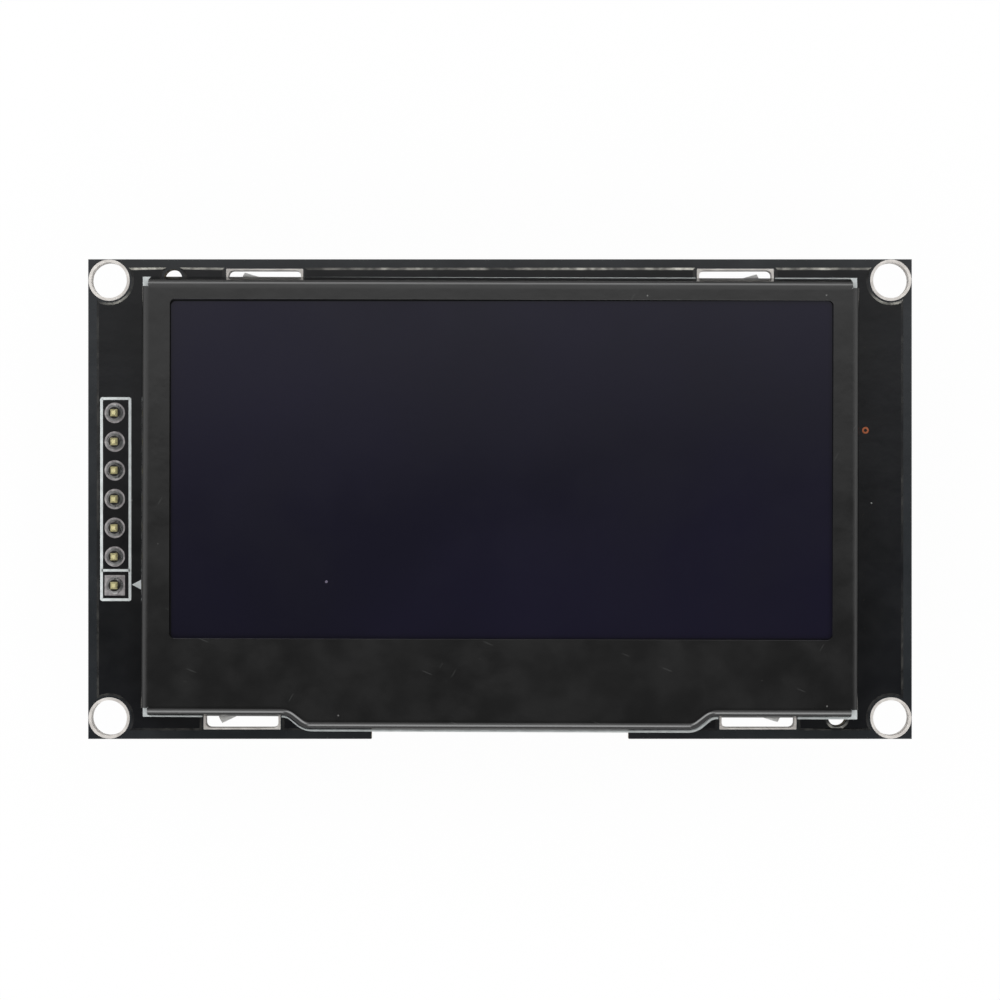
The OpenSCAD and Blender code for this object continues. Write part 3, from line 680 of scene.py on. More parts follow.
walls = [
    (lower_path(), None),
    ([(Vector((fold_x, fold_bottom + RELIEF)), Vector((1, 0))),
      (Vector((fold_x, fold_top - RELIEF)), Vector((1, 0)))], 0.0),
    ([(Vector((fold_x - RELIEF, fold_top)), Vector((0, 1))),
      (Vector((-fold_x + RELIEF, fold_top)), Vector((0, 1)))], LEAN),
    ([(Vector((-fold_x, fold_top - RELIEF)), Vector((-1, 0))),
      (Vector((-fold_x, fold_bottom + RELIEF)), Vector((-1, 0)))], 0.0),
]
window_low, window_high = box_mm("polariser")
WINDOW_LAP, WINDOW_R, WINDOW_SHIFT = 0.7, 0.5, Vector((0.1, -0.15, 0))
SOFT, INSET = 0.006, 0.12
window_middle = (window_low + window_high) / 2 + WINDOW_SHIFT
window_size = (window_high - window_low) - Vector((2 * WINDOW_LAP, 2 * WINDOW_LAP, 0))


def window_loop(grow):
    return rounded(window_middle.x, window_middle.y, window_size.x + 2 * grow,
                   window_size.y + 2 * grow, WINDOW_R + grow)


bm = bmesh.new()
outline = [station for path_points, _ in walls for station in path_points]
fold_top_ring, _ = ring_edges(bm, [p for p, _ in outline], face_z)
inset_ring, inset_edges = ring_edges(
    bm, [p - INSET * (o + end_step(path_points, i)) for path_points, _ in walls
         for i, (p, o) in enumerate(path_points)], face_z)
under_ring, under_edges = ring_edges(bm, [p for p, _ in outline], under_z)
bridge(bm, fold_top_ring, inset_ring)
rims = [ring_edges(bm, window_loop(grow), z) for grow, z in (
    (SOFT + INSET, face_z), (SOFT, face_z), (0, face_z - SOFT),
    (0, under_z + SOFT), (SOFT, under_z))]
for upper, lower in zip(rims, rims[1:]):
    bridge(bm, upper[0], lower[0])
bmesh.ops.triangle_fill(bm, edges=inset_edges + rims[0][1], use_beauty=True)
bmesh.ops.triangle_fill(bm, edges=under_edges + rims[-1][1], use_beauty=True)

start = 0
for path_points, lean in walls:
    count = len(path_points)
    rows = []
    for i, (place, out) in enumerate(path_points):
        shape = section(lower_lean(place.x) if lean is None else lean)
        step = end_step(path_points, i)
        hanging = [bm.verts.new((*((place + d * out + min(d, MITRE) * step) * MM), h * MM))
                   for d, h in shape]
        rows.append([fold_top_ring[start + i], *hanging, under_ring[start + i]])
    for a, b in zip(rows, rows[1:]):
        for k in range(len(a) - 1):
            bm.faces.new((a[k], a[k + 1], b[k + 1], b[k]))
    for row in (rows[0], rows[-1]):
        last = len(row) - 1
        for k in range(len(row) // 2 - 1):
            bm.faces.new((row[k], row[k + 1], row[last - k - 1], row[last - k]))
    start += count
    after = start % len(outline)
    bm.faces.new((fold_top_ring[start - 1], fold_top_ring[after], under_ring[after],
                  under_ring[start - 1]))

# %% [markdown]
# ### Tabs
#
# Each tab leaves the foot of a long wall, passes its slot, and is twisted behind the
# board so that it can't slip back. Tabs are twisted one by one, so no two turn quite
# alike. A Simple Deform modifier would twist a whole plate. A row of small rectangles,
# turned more and more about the tab's middle, keeps the upper part straight.

# %% Bezel's tabs
TAB_W, TAB_STEPS = 3.6, 12
TAB_ROOT, TAB_TIP, TIP_SHARE = 0.06, 0.1, 0.95
TWIST_BELOW, TWIST_ENDS = 0.5, 0.6
TWIST = {(1, 1): 17, (-1, 1): 17, (1, -1): 18, (-1, -1): 26}
TAB_X, SLOT_SHIFT = {1: 21.1, -1: 23.1}, 0.3
tab_y = {1: fold_top + foot_out(LEAN) - SHEET / 2,
         -1: fold_bottom - foot_out(LEAN_LOW) + SHEET / 2}
tab_end = bezel_low.z


def tab(x, y, twist):
    twist_from, twist_to = back_z + TWIST_BELOW, tab_end + TWIST_ENDS
    levels = [(TAB_ROOT, 0.0, 1.0)]
    levels += [(twist_from + (twist_to - twist_from) * i / TAB_STEPS, twist * i / TAB_STEPS, 1.0)
               for i in range(TAB_STEPS + 1)]
    levels += [(tab_end + TAB_TIP, twist, 1.0), (tab_end, twist, TIP_SHARE)]
    rows = []
    for z, angle, share in levels:
        turn = Matrix.Rotation(angle, 2)
        row = []
        for cx, cy in ((-1, -1), (1, -1), (1, 1), (-1, 1)):
            corner = turn @ Vector((cx * TAB_W / 2 * share, cy * SHEET / 2))
            row.append(bm.verts.new(((x + corner.x) * MM, (y + corner.y) * MM, z * MM)))
        rows.append(row)
    for a, b in zip(rows, rows[1:]):
        bridge(bm, a, b)
    bm.faces.new(rows[0])
    bm.faces.new(rows[-1])


for side in (1, -1):
    for row in (1, -1):
        turn = side * row * math.radians(TWIST[side, row])
        tab(side * TAB_X[row], tab_y[row], turn)
bmesh.ops.rotate(bm, verts=bm.verts, cent=(0, 0, 0), matrix=Matrix.Rotation(ASKEW, 3, "Z"))
bezel = piece("folded_bezel", mesh_from(bm, "folded_bezel"), LACQUER, sharp=30)
# Faces below the board take the tabs' pale steel, partly a painted reflection.
bezel.data.materials.append(TAB_STEEL_AND_PAINTED_REFLECTION)
for face in bezel.data.polygons:
    face.material_index = int(face.center.z < back_z / 2 * MM)
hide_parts("bezel")

# %% [markdown]
# ### Painted shade in the window
#
# A flat black frame lies on the film inside the window's edge. It is painted shade: it stands in
# for the shade under the sheet's edge, and shows as a dark line, widest along the top and the
# left. A darker border in the film's finish would slide when the window changes, so the painted
# shade is a flat frame of its own.

# %% Painted shade frame in the window
SHADE_FRAME_T, SHADE_FRAME_W, SHADE_FRAME_SHIFT, SHADE_FRAME_R = 0.05, 0.085, 0.045, 0.42
SHADE_FRAME_CLEAR, SHADE_FRAME_SUNK = 0.005, 0.01
# Painted shade: the frame's inner edge is shifted so it lies widest at the top and left.
shade_frame_inner = rounded(window_middle.x + SHADE_FRAME_SHIFT, window_middle.y - SHADE_FRAME_SHIFT,
                     window_size.x - 2 * SHADE_FRAME_W, window_size.y - 2 * SHADE_FRAME_W, SHADE_FRAME_R)
bm = bmesh.new()
plate(bm, window_loop(-SHADE_FRAME_CLEAR), [shade_frame_inner], under_z - SHADE_FRAME_SUNK, under_z + SHADE_FRAME_T)
piece("window_bead", mesh_from(bm, "window_bead"), SHADE_FRAME_FINISH)

# %% [markdown]
# ## Raised copper
#
# Copper lies under the black mask and lifts it by a few hundredths of a millimetre. It stops short
# of the board's edge and of every hole, and its sloped rim draws a thin light line, part
# reflection and part painted highlight in the mask's finish. A bump in the material would give the
# line but no step, so this relief is real geometry: a flat plate with holes and sloped rims, one
# on each face.

# %% Outline of the copper
COPPER_T, EDGE_GAP, HOLE_GAP_R, HOLE_INSET = 0.03, 0.85, 2.1, 1.85
PIN_GAP_R, ARC_STEPS, RIM_SLOPE = 0.75, 12, 0.2
SLOT_GAP_HALF, SLOT_GAP_IN = 3.65, 18.3
UPPER_LOCATOR, LOWER_LOCATOR = (-28.9, 19.51, 1.15), (29.8, -19.26, 1.0)
NOTCH_HALF, NOTCH_Y = 11.375, -18.9
hole_x = board_high.x - HOLE_INSET
hole_y = board_high.y - HOLE_INSET
slot_x = {row: TAB_X[row] - SLOT_SHIFT for row in (1, -1)}


def hole_arc(sx, sy):
    """Hollow arc round one mounting hole, in anticlockwise order for the outline."""
    start = math.asin((HOLE_INSET - EDGE_GAP) / HOLE_GAP_R)
    turns = [-start + (math.pi / 2 + 2 * start) * i / ARC_STEPS for i in range(ARC_STEPS + 1)]
    arc = [(sx * (hole_x - HOLE_GAP_R * math.cos(a)), sy * (hole_y - HOLE_GAP_R * math.sin(a)))
           for a in turns]
    return arc[::-1] if sx * sy > 0 else arc


def notch(x, half, depth_y, edge_y):
    """Rectangular step into the outline, from right to left along the upper edge."""
    return [(x + half, edge_y), (x + half, depth_y), (x - half, depth_y), (x - half, edge_y)]


def copper_outline():
    """Round the whole area, in from the board's edge and from every opening."""
    edge_y = board_high.y - EDGE_GAP
    half, inner_y = NOTCH_HALF + EDGE_GAP, NOTCH_Y + EDGE_GAP
    x, y, r = UPPER_LOCATOR
    top = [n for side in (1, -1)
           for n in notch(side * slot_x[1], SLOT_GAP_HALF, SLOT_GAP_IN, edge_y)]
    locator = [(x + r * math.cos(a), y + r * math.sin(a))
               for a in map(math.radians, range(50, -231, -20))]
    low = [[(-x, -y) for x, y in notch(side * slot_x[-1], SLOT_GAP_HALF, SLOT_GAP_IN, edge_y)]
           for side in (1, -1)]
    middle = [(-half, -edge_y), (-half, inner_y), (half, inner_y), (half, -edge_y)]
    return (hole_arc(1, 1) + top + locator + hole_arc(-1, 1)
            + hole_arc(-1, -1) + low[0] + middle + low[1] + hole_arc(1, -1))


# %% Plate with sloped rims
def relief(bm, outline, holes, foot_z, crest_z, slope=RIM_SLOPE):
    """Plate whose rims slope: the foot ring lies wider than the crest ring."""
    rows = []
    for z, grow in ((foot_z, slope / 2), (crest_z, -slope / 2)):
        made = []
        for k, loop in enumerate([outline, *holes]):
            sign = grow if k == 0 else -grow
            moved = []
            for i, here in enumerate(loop):
                before, after = Vector(loop[i - 1]), Vector(loop[(i + 1) % len(loop)])
                here = Vector(here)
                first = (here - before).normalized()
                second = (after - here).normalized()
                normal = Vector((first.y + second.y, -first.x - second.x))
                bend = max(0.5, normal.length / 2)
                moved.append(here + normal.normalized() * sign / bend)
            made.append(ring_edges(bm, moved, z))
        bmesh.ops.triangle_fill(bm, edges=[e for _, edges in made for e in edges], use_beauty=True)
        rows.append([verts for verts, _ in made])
    for lower, upper in zip(*rows):
        bridge(bm, lower, upper)


# %% Copper on both faces
pins = 7
pin_x = (pin_low.x + pin_high.x) / 2
pitch = (pin_high.y - pin_low.y - (pin_high.x - pin_low.x)) / (pins - 1)
pin_at = [(pin_x, ((pins - 1) / 2 - i) * pitch) for i in range(pins)]
openings = [circle(x, y, PIN_GAP_R, 24) for x, y in pin_at] + [circle(*LOWER_LOCATOR, 24)]
for name, foot_z, crest_z in (("raised_copper_front", 0.0, COPPER_T),
                              ("raised_copper_back", back_z, back_z - COPPER_T)):
    bm = bmesh.new()
    relief(bm, copper_outline(), openings, foot_z, crest_z)
    piece(name, mesh_from(bm, name), COPPER_MASK, sharp=5)

# %% [markdown]
# ## Repeated metal on the board
#
# The plated rings at the mounting holes, the round pads of the header and the small
# covered vias all repeat one shape along a row of points. Copies made by hand would have
# to be changed one by one, so Geometry Nodes make them. The tree sweeps a small
# rectangle round a circle, puts that ring on every point of a mesh, and ends in real
# faces.


# %% Tree for rings on points
def new_tree(name, sockets):
    tree = bpy.data.node_groups.new(name, "GeometryNodeTree")
    tree.interface.new_socket("Geometry", in_out="INPUT", socket_type="NodeSocketGeometry")
    for label, kind, value in sockets:
        socket = tree.interface.new_socket(label, in_out="INPUT", socket_type=kind)
        if value is not None:
            socket.default_value = value
    tree.interface.new_socket("Geometry", in_out="OUTPUT", socket_type="NodeSocketGeometry")
    g = Nodes(tree)
    return g, g.add("NodeGroupInput").outputs, g.add("NodeGroupOutput").inputs


MATERIAL = "NodeSocketMaterial"
RING_STEPS = 48


def end_tree(g, shape, given, result):
    """Every tree ends in real faces that carry their finish."""
    real = g.add("GeometryNodeRealizeInstances", shape)
    painted = g.fill(g.add("GeometryNodeSetMaterial", real), Material=given["Finish"])
    g.put(painted, result["Geometry"])


def flat_sweep(g, curve, width, height, caps=False):
    """Sweeps a rectangle along a curve and keeps it level."""
    upright = g.add("GeometryNodeSetCurveNormal", curve, mode="Z_UP")
    profile = g.fill(g.add("GeometryNodeCurvePrimitiveQuadrilateral", mode="RECTANGLE"),
                     Width=width, Height=height)
    return g.fill(g.add("GeometryNodeCurveToMesh"), Curve=upright, Profile_Curve=profile,
                  Fill_Caps=caps)


g, given, result = new_tree("rings_on_points", [
    ("Inner radius", FLOAT, 0.0016), ("Width", FLOAT, 0.0002), ("Height", FLOAT, 0.00004),
    ("Finish", MATERIAL, None)])
radius = g.math("ADD", given["Inner radius"], g.math("MULTIPLY", given["Width"], 0.5))
loop = g.fill(g.add("GeometryNodeCurvePrimitiveCircle", mode="RADIUS"),
              Resolution=RING_STEPS, Radius=radius)
ring = flat_sweep(g, loop.outputs["Curve"], given["Width"], given["Height"])
spread = g.fill(g.add("GeometryNodeInstanceOnPoints"), Points=given["Geometry"], Instance=ring)
end_tree(g, spread, given, result)
RINGS = g.tree


def points_mesh(name, points):
    mesh = bpy.data.meshes.new(name)
    mesh.from_pydata([(x * MM, y * MM, z * MM) for x, y, z in points], [], [])
    return mesh


def grown(name, base, tree, slot, sharp=35, **values):
    """Runs a tree on a base mesh and keeps the plain mesh that comes out."""
    obj = bpy.data.objects.new(name, base)
    bpy.context.scene.collection.objects.link(obj)
    modifier = obj.modifiers.new(tree.name, "NODES")
    modifier.node_group = tree
    for item in tree.interface.items_tree:
        key = item.name.replace(" ", "_")
        if item.in_out == "INPUT" and key in values:
            modifier[item.identifier] = values[key]
    depsgraph = bpy.context.evaluated_depsgraph_get()
    mesh = bpy.data.meshes.new_from_object(obj.evaluated_get(depsgraph))
    bpy.data.objects.remove(obj)
    mesh.name = name
    bm = bmesh.new()
    bm.from_mesh(mesh)
    bmesh.ops.remove_doubles(bm, verts=bm.verts, dist=1e-7)
    bmesh.ops.recalc_face_normals(bm, faces=bm.faces)
    bm.to_mesh(mesh)
    bm.free()
    return piece(name, mesh, sharp=sharp)


# %% Plated rings at the mounting holes
def rings(name, points, slot, finish, inner, width, height):
    grown(name, points_mesh(name, points), RINGS, slot, Inner_radius=inner * MM,
          Width=width * MM, Height=height * MM, Finish=finish)


PLATING, HOLE_R, BARREL, RING_W = 0.04, 1.6, 0.03, 0.255
holes = [(sx * hole_x, sy * hole_y) for sx in (1, -1) for sy in (1, -1)]
for name, z, width, height in (
        ("hole_rings_front", PLATING / 2, RING_W, PLATING),
        ("hole_rings_back", back_z - PLATING / 2, RING_W, PLATING),
        ("hole_barrels", back_z / 2, BARREL, -back_z)):
    rings(name, [(x, y, z) for x, y in holes], "solder", TIN, HOLE_R - BARREL, width, height)

# %% [markdown]
# ### Header pads
#
# Round tinned pads surround the pins. The first pin's pad is square, as makers mark it,
# so it can't come from the ring tree and is a plate with a hole.

# %% Header pads
PAD_R, PAD_HOLE_R, PAD_CORNER = 0.9, 0.5, 0.05
square = rounded(*pin_at[-1], 2 * PAD_R, 2 * PAD_R, PAD_CORNER)
bm = bmesh.new()
for name, z in (("round_pads_front", COPPER_T), ("round_pads_back", back_z - COPPER_T)):
    rings(name, [(x, y, z) for x, y in pin_at[:-1]], "solder", PAD_TIN, PAD_HOLE_R,
          PAD_R - PAD_HOLE_R, PLATING)
    plate(bm, square, [circle(*pin_at[-1], PAD_HOLE_R)], z - PLATING / 2, z + PLATING / 2)
piece("square_pads", mesh_from(bm, "square_pads"), PAD_TIN)

# %% [markdown]
# ### Painted shade at the pins
#
# A thin dark ring lies on top of each fillet, shifted a little towards +x. It is painted shade for
# the shaded side of the pin and the hollow beside it. A dark mask in the solder's finish would
# need the place of every pin, so the ring tree lays the ring on top of each fillet.

# %% Painted shade round the pins
FILLET_TOP, PIN_SHADE_SHIFT = 0.8, 0.03
PIN_SHADE_R, PIN_SHADE_W, PIN_SHADE_T = 0.3, 0.22, 0.03
# Painted shade: dark rings on the fillets, shifted towards +x.
rings("flux_rings", [(x + PIN_SHADE_SHIFT, y, FILLET_TOP) for x, y in pin_at], "solder", PIN_SHADE_FINISH,
      PIN_SHADE_R, PIN_SHADE_W, PIN_SHADE_T)

# %% [markdown]
# ### Vias
#
# A row of vias ties the copper of both faces together. The mask covers them and lifts
# over each as a low ring, and one has lost its cover and shows bare copper. Real bores
# in the board would stay out of sight, so rings alone stand for them.

# %% Vias under the mask
VIA_X, VIA_TOP, VIAS, OPEN_VIA = 32.3, 13.7, 11, 3
VIA_T, COVERED_R, COVERED_W, OPEN_R, OPEN_W = 0.03, 0.1, 0.18, 0.14, 0.16
via_at = [(VIA_X, VIA_TOP - pitch * i, COPPER_T) for i in range(VIAS)]
rings("covered_vias", via_at[:OPEN_VIA] + via_at[OPEN_VIA + 1:], "board", COPPER_MASK,
      COVERED_R, COVERED_W, VIA_T)
rings("open_via", via_at[OPEN_VIA:OPEN_VIA + 1], "solder", COPPER, OPEN_R, OPEN_W, VIA_T)

# %% [markdown]
# ## Plated slots
#
# Each tab passes a rounded slot with a square-cornered pad of tinned copper round it.
# The plating also lines the slot's wall, which shows from above. The board's solid could
# be cut and coloured for this, but tin has a thickness, so each slot gets two pads and a
# lining of its own.

# %% Slot pads and linings
SLOT_L, SLOT_R, SLOT_RIM = 6.5, 0.5, 0.95
SLOT_INNER = {1: 18.86, -1: 18.61}
SLOT_PAD_L, SLOT_PAD_W, SLOT_PAD_R = 0.3, 0.22, 0.06
LINING, LINING_SUNK = 0.04, 0.01
slot_outer = board_high.y - SLOT_RIM
bm = bmesh.new()
for row in (1, -1):
    width = slot_outer - SLOT_INNER[row]
    middle = row * (slot_outer + SLOT_INNER[row]) / 2
    for side in (1, -1):
        x = side * slot_x[row]
        hole, wall = [rounded(x, middle, SLOT_L + 2 * grow, width + 2 * grow, SLOT_R + grow)
                      for grow in (-LINING, LINING_SUNK)]
        pad = rounded(x, middle, SLOT_L + SLOT_PAD_L, width + SLOT_PAD_W, SLOT_PAD_R)
        plate(bm, pad, [hole], 0, PLATING)
        plate(bm, pad, [hole], back_z - PLATING, back_z)
        plate(bm, wall, [hole], back_z, 0)
piece("slot_plating", mesh_from(bm, "slot_plating"), TIN)

# %% [markdown]
# ## White ink
#
# The screen-printed lines frame the header and mark where the bezel stands. They could
# be painted by the board's material, but ink has a thickness and a crisp edge. A second
# tree turns a drawn path into a flat ink line: it rounds the corners and sweeps a thin
# rectangle along.

# %% Tree for ink lines
CORNER_STEPS = 5
g, given, result = new_tree("flat_line", [
    ("Width", FLOAT, 0.0002), ("Thickness", FLOAT, 0.00004), ("Corner radius", FLOAT, 0.0),
    ("Finish", MATERIAL, None)])
drawn = g.add("GeometryNodeMeshToCurve", given["Geometry"])
filleted = g.fill(g.add("GeometryNodeFilletCurve", mode="POLY"), Curve=drawn,
                  Radius=given["Corner radius"], Count=CORNER_STEPS)
line = flat_sweep(g, filleted, given["Width"], given["Thickness"], caps=True)
end_tree(g, line, given, result)
FLAT_LINE = g.tree


def path_mesh(name, paths, z):
    """Edges along each path; a path that ends where it starts is closed."""
    verts, edges = [], []
    for points in paths:
        closed = points[0] == points[-1]
        own = points[:-1] if closed else points
        first = len(verts)
        verts += [(x * MM, y * MM, z * MM) for x, y in own]
        edges += [(first + i, first + i + 1) for i in range(len(own) - 1)]
        if closed:
            edges.append((first + len(own) - 1, first))
    mesh = bpy.data.meshes.new(name)
    mesh.from_pydata(verts, edges, [])
    return mesh


def box_path(left, bottom, right, top):
    return [(left, bottom), (right, bottom), (right, top), (left, top), (left, bottom)]


def flat_lines(name, paths, z, finish, width, thickness, corner=0.0):
    grown(name, path_mesh(name, paths, z), FLAT_LINE, "board", Width=width * MM,
          Thickness=thickness * MM, Corner_radius=corner * MM, Finish=finish)


# %% Ink on the front
INK_T, BOX_INK, DIVIDER_INK, BOX_CORNER = 0.06, 0.24, 0.22, 0.08
BOX_LEFT, BOX_RIGHT, BOX_TOP, DIVIDER_Y = -35.22, -32.71, 8.89, -6.3
flat_lines("header_box_ink", [box_path(BOX_LEFT, -BOX_TOP, BOX_RIGHT, BOX_TOP)], INK_T / 2,
           INK, BOX_INK, INK_T, BOX_CORNER)
flat_lines("header_divider_ink", [[(BOX_LEFT, DIVIDER_Y), (BOX_RIGHT, DIVIDER_Y)]], INK_T / 2,
           INK, DIVIDER_INK, INK_T)

# %% [markdown]
# ### Ink round the bezel
#
# A broader line marks the bezel's place. It follows the folds and the swelling, shows as
# a thin rim past the lower wall and as a patch at each corner, and stops at the slots,
# where there is no board to print on. The tree would narrow it at its square corners,
# so these strips are mitred in mesh code.


# %% Ink round the bezel
def broken(points, gaps):
    """Parts of a path that lie outside the given ranges of x."""
    paths, path = [], []
    for (ax, ay), (bx, by) in zip(points, points[1:]):
        cuts = {(x - ax) / (bx - ax) for gap in gaps for x in gap} if ax != bx else set()
        cuts = sorted({0.0, 1.0} | {t for t in cuts if 0 < t < 1})
        for t, u in zip(cuts, cuts[1:]):
            ends = [(ax + (bx - ax) * s, ay + (by - ay) * s) for s in (t, u)]
            if any(low < (ends[0][0] + ends[1][0]) / 2 < high for low, high in gaps):
                paths.append(path)
                path = []
            else:
                path += ends[1:] if path else ends
    return [p for p in paths + [path] if p]


def ribbon(bm, path, width, low, high):
    """Flat strip of even width along a path, with its bends mitred."""
    points = [Vector(p) for p in path]
    steps = [(b - a).normalized() for a, b in zip(points, points[1:])]
    left, right = [], []
    for i, here in enumerate(points):
        before, after = steps[max(i - 1, 0)], steps[min(i, len(steps) - 1)]
        along = (before + after).normalized()
        across = Vector((-along.y, along.x)) * width / 2 / along.dot(after)
        left.append(here + across)
        right.append(here - across)
    plate(bm, left + right[::-1], [], low, high)


OUTLINE_W, INK_ASKEW, INK_SHOWS, SLOT_HALF = 0.55, math.radians(-0.22), 0.12, 3.5
OUTLINE_X, OUTLINE_TOP, TOP_SKEW = 31.295, 19.29, (-0.02, 0.09)
lower = [p + (foot_out(lower_lean(p.x)) + INK_SHOWS - OUTLINE_W / 2) * o
         for p, o in lower_path(6)]
lower = [(OUTLINE_X * (1 if v.x > 0 else -1) if abs(v.x) > fold_x - 1 else v.x,
          v.y + INK_ASKEW * v.x) for v in lower]
upper = [(side * OUTLINE_X, OUTLINE_TOP + skew) for side, skew in zip((1, -1), TOP_SKEW)]
left_low, middle_low, right_low, right_top, middle_top, left_top = [
    part for row, path in ((-1, lower), (1, upper)) for part in broken(path, [
        (x - SLOT_HALF, x + SLOT_HALF) for x in (-slot_x[row], slot_x[row])])]
bm = bmesh.new()
for path in (middle_low, right_low + right_top, middle_top, left_top + left_low):
    ribbon(bm, path, OUTLINE_W, 0, INK_T)
piece("bezel_outline_ink", mesh_from(bm, "bezel_outline_ink"), INK)

# %% [markdown]
# ### Arrow at the first pin
#
# A small ink arrow points at the first pin. Its point is drawn out and its back is cut
# square, so five corners of a flat plate give it.

# %% Arrow at the first pin
ARROW_Y, ARROW_TIP, ARROW_BACK, ARROW_HALF = -7.56, -32.54, -31.5, 0.5
ARROW_BEND, BEND_HALF = -31.68, 0.45
bm = bmesh.new()
plate(bm, [(ARROW_TIP, ARROW_Y), (ARROW_BEND, ARROW_Y - BEND_HALF),
           (ARROW_BACK, ARROW_Y - ARROW_HALF), (ARROW_BACK, ARROW_Y + ARROW_HALF),
           (ARROW_BEND, ARROW_Y + BEND_HALF)], [], 0, INK_T)
piece("first_pin_arrow_ink", mesh_from(bm, "first_pin_arrow_ink"), INK)

# %% [markdown]
# ## Back of the board
#
# The back is hidden in use, yet it's dressed too. Bare solids on a bare board would
# look like a diagram. Every part stands on tinned pads that reach out past its ends, and
# solder climbs each end in a small wedge.

# %% Pads and solder on the back
BACK_PAD_T, BACK_PAD_R = 0.04, 0.06
pad_z = back_z - COPPER_T - BACK_PAD_T
cap_size, resistor_size = (1.25, 2.0), (0.8, 1.6)
cap_at = [(-7, 1.5), (6.5, 1.5), (-16, 5), (-26, 5), (11, -3.5)]
resistor_at = [(-27 + 2 * i, -6) for i in range(7)]
lead_at = [(-7.95, -2.25, 1), (-6.05, -2.25, 1), (-7.95, -4.75, -1), (-7.0, -4.75, -1),
           (-6.05, -4.75, -1), (-21.0, 6.25, 1), (-21.95, 3.75, -1), (-20.05, 3.75, -1)]
pad_list = [(x, y, 0.6, 0.9) for x, y, _ in lead_at]
pad_list += [(8.3, -3.5, 1.1, 1.0), (4.7, -3.5, 1.1, 1.0), (-1.7, 2, 1.0, 3.0), (1.7, 2, 1.0, 3.0)]
wedges = [(x, y + side * 0.19, 0.4, 0.22, 0.12, side) for x, y, side in lead_at]
for places, (width, length), rise in ((cap_at, cap_size, 0.5), (resistor_at, resistor_size, 0.3)):
    for x, y in places:
        for side in (1, -1):
            pad_list.append((x, y + side * (length / 2 - 0.05), width + 0.1, 0.8))
            wedges.append((x, y + side * length / 2, width - 0.06, 0.3, rise, side))
FINGERS, FINGER_PITCH, FLEX_END = 24, 0.8, -13.5
FIRST_FINGER = -(FINGERS - 1) / 2 * FINGER_PITCH
pad_list += [(FIRST_FINGER + i * FINGER_PITCH, FLEX_END + 0.45, 0.45, 1.3)
             for i in range(FINGERS)]
bm = bmesh.new()
for x, y, width, height in pad_list:
    plate(bm, rounded(x, y, width, height, BACK_PAD_R, 3), [], pad_z, back_z)
piece("back_pads", mesh_from(bm, "back_pads"), TIN)

bm = bmesh.new()
HOLLOW_OUT, HOLLOW_UP = 0.45, 0.35
for x, y, width, reach, rise, side in wedges:
    profile = [(0, pad_z), (reach, pad_z),
               (HOLLOW_OUT * reach, pad_z - HOLLOW_UP * rise), (0, pad_z - rise)]
    ends = [[bm.verts.new(((x + sx * width / 2) * MM, (y + side * d) * MM, z * MM))
             for d, z in profile] for sx in (-1, 1)]
    bridge(bm, *ends)
    for end in ends:
        bm.faces.new(end)
piece("solder_wedges", mesh_from(bm, "solder_wedges"), SOLDER)
print("pads", len(pad_list), "wedges", len(wedges))

# %% [markdown]
# ### Ink and traces on the back
#
# Ink boxes frame the parts, and traces run under the mask as low ridges that end in
# vias. Paths and points are all that the two trees need, so the rows below only say
# where each line goes. No two traces cross, as on a real board.

# %% Ink on the back
BACK_INK, BACK_INK_T, BACK_CORNER = 0.15, 0.04, 0.1
back_ink_z = back_z - COPPER_T - BACK_INK_T / 2
frames = [box_path(x - 0.95, y - 1.65, x + 0.95, y + 1.65) for x, y in cap_at]
frames += [box_path(x - 0.7, y - 1.35, x + 0.7, y + 1.35) for x, y in resistor_at]
frames += [box_path(-2.5, -0.5, 2.5, 4.5), box_path(3.9, -4.6, 9.1, -2.4),
           box_path(-8.7, -5.4, -5.3, -1.6), box_path(-22.7, 3.1, -19.3, 6.9),
           box_path(BOX_LEFT - 0.3, -9.2, BOX_RIGHT + 0.2, 9.2)]
flat_lines("back_ink", frames, back_ink_z, INK, BACK_INK, BACK_INK_T, BACK_CORNER)

# %% Traces and vias on the back
TRACE_W, TRACE_T, trace_z = 0.28, 0.06, back_z - COPPER_T
trace_paths = []
for i, (x, y) in enumerate(pin_at):
    lane = -8.0 - 0.6 * i
    turn = pin_x + 1.9 + 0.6 * (pins - i)
    finger = FIRST_FINGER + FINGER_PITCH * (pins - 1 - i)
    trace_paths.append([(x, y), (turn - 0.4, y), (turn, y - 0.4), (turn, lane + 0.4),
                        (turn + 0.4, lane), (finger - 0.5, lane), (finger, lane - 0.5),
                        (finger, -12.5)])
lanes = [(FIRST_FINGER + FINGER_PITCH * (8 + 2 * i), -7.6 - 0.45 * i, 24 - i) for i in range(8)]
for x, lane, end in lanes:
    trace_paths.append([(x, -12.5), (x, lane - 1.2), (x + 1.2, lane), (end, lane)])
trace_paths += [[(-7.95, -2.0), (-7.95, 0.0), (-7.2, 0.5)], [(2.0, 2.0), (6.3, 2.3)],
                [(4.6, -3.5), (3.4, -3.5), (1.8, 0.6)], [(8.4, -3.5), (11, -2.8)],
                [(-21, 6.4), (-21, 8.2), (-16.5, 8.2), (-16, 6.0)], [(-20, 3.6), (-16, 4.1)]]
flat_lines("back_traces", trace_paths, trace_z, COPPER_MASK, TRACE_W, TRACE_T)
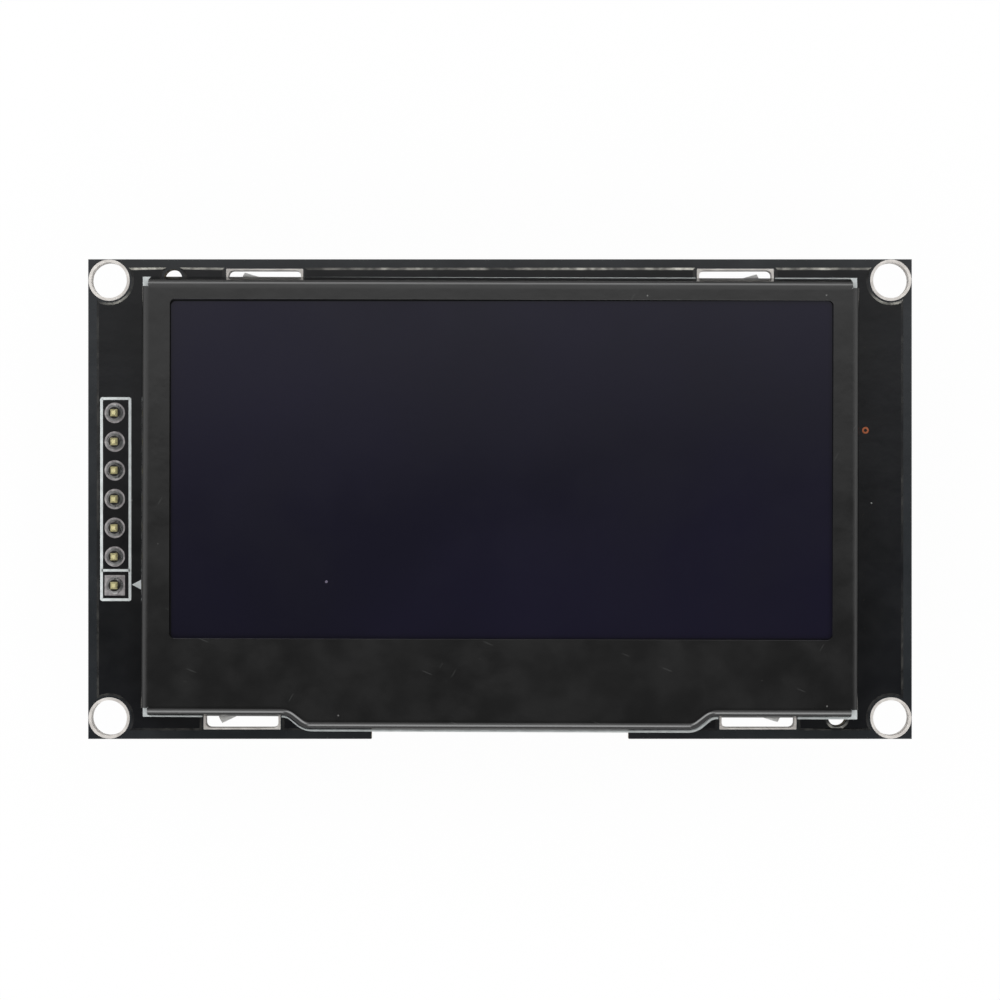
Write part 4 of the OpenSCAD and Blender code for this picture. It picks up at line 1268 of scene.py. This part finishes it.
back_vias = [(end + 0.15, lane, trace_z) for _, lane, end in lanes]
back_vias += [(x, y, trace_z) for x in (-29, -12, 14, 27) for y in (-15, 10.5, 15.5)]
BACK_VIA_R, BACK_VIA_W, BACK_VIA_T = 0.12, 0.2, 0.05
rings("back_vias", back_vias, "board", COPPER_MASK, BACK_VIA_R, BACK_VIA_W, BACK_VIA_T)

# %% [markdown]
# ## Winding of the inductor
#
# Enamelled wire is wound on the ferrite drum, turn beside turn. Stripes on a plain
# sleeve would look flat from the side. A spiral swept with a small circle gives each
# turn a real shape, so it stands in for the solid sleeve.

# %% Tree for the winding
WIRE_R, WIRE_TURNS = 0.075, 8.0
TURN_STEPS, WIRE_STEPS = 24, 8
g, given, result = new_tree("wound_wire", [
    ("Turns", FLOAT, 8.0), ("Radius", FLOAT, 0.0015), ("Height", FLOAT, 0.001),
    ("Wire radius", FLOAT, 0.00007), ("Finish", MATERIAL, None)])
spiral = g.fill(g.add("GeometryNodeCurveSpiral"), Resolution=TURN_STEPS,
                Rotations=given["Turns"], Start_Radius=given["Radius"],
                End_Radius=given["Radius"], Height=given["Height"])
wire_section = g.fill(g.add("GeometryNodeCurvePrimitiveCircle", mode="RADIUS"),
                      Resolution=WIRE_STEPS, Radius=given["Wire radius"])
swept = g.fill(g.add("GeometryNodeCurveToMesh"), Curve=spiral, Profile_Curve=wire_section,
               Fill_Caps=True)
on_place = g.fill(g.add("GeometryNodeInstanceOnPoints"), Points=given["Geometry"],
                  Instance=swept)
end_tree(g, on_place, given, result)

# %% Winding
coil_low, coil_high = box_mm("inductor_winding")
coil_middle = (coil_low + coil_high) / 2
winding = grown("wound_wire", points_mesh("wound_wire", [
    (coil_middle.x, coil_middle.y, coil_low.z + WIRE_R)]), g.tree, "copper_wire",
    Turns=WIRE_TURNS, Radius=(coil_high.x - coil_middle.x - WIRE_R) * MM,
    Height=(coil_high.z - coil_low.z - 2 * WIRE_R) * MM, Wire_radius=WIRE_R * MM, Finish=WIRE)
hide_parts("inductor_winding")
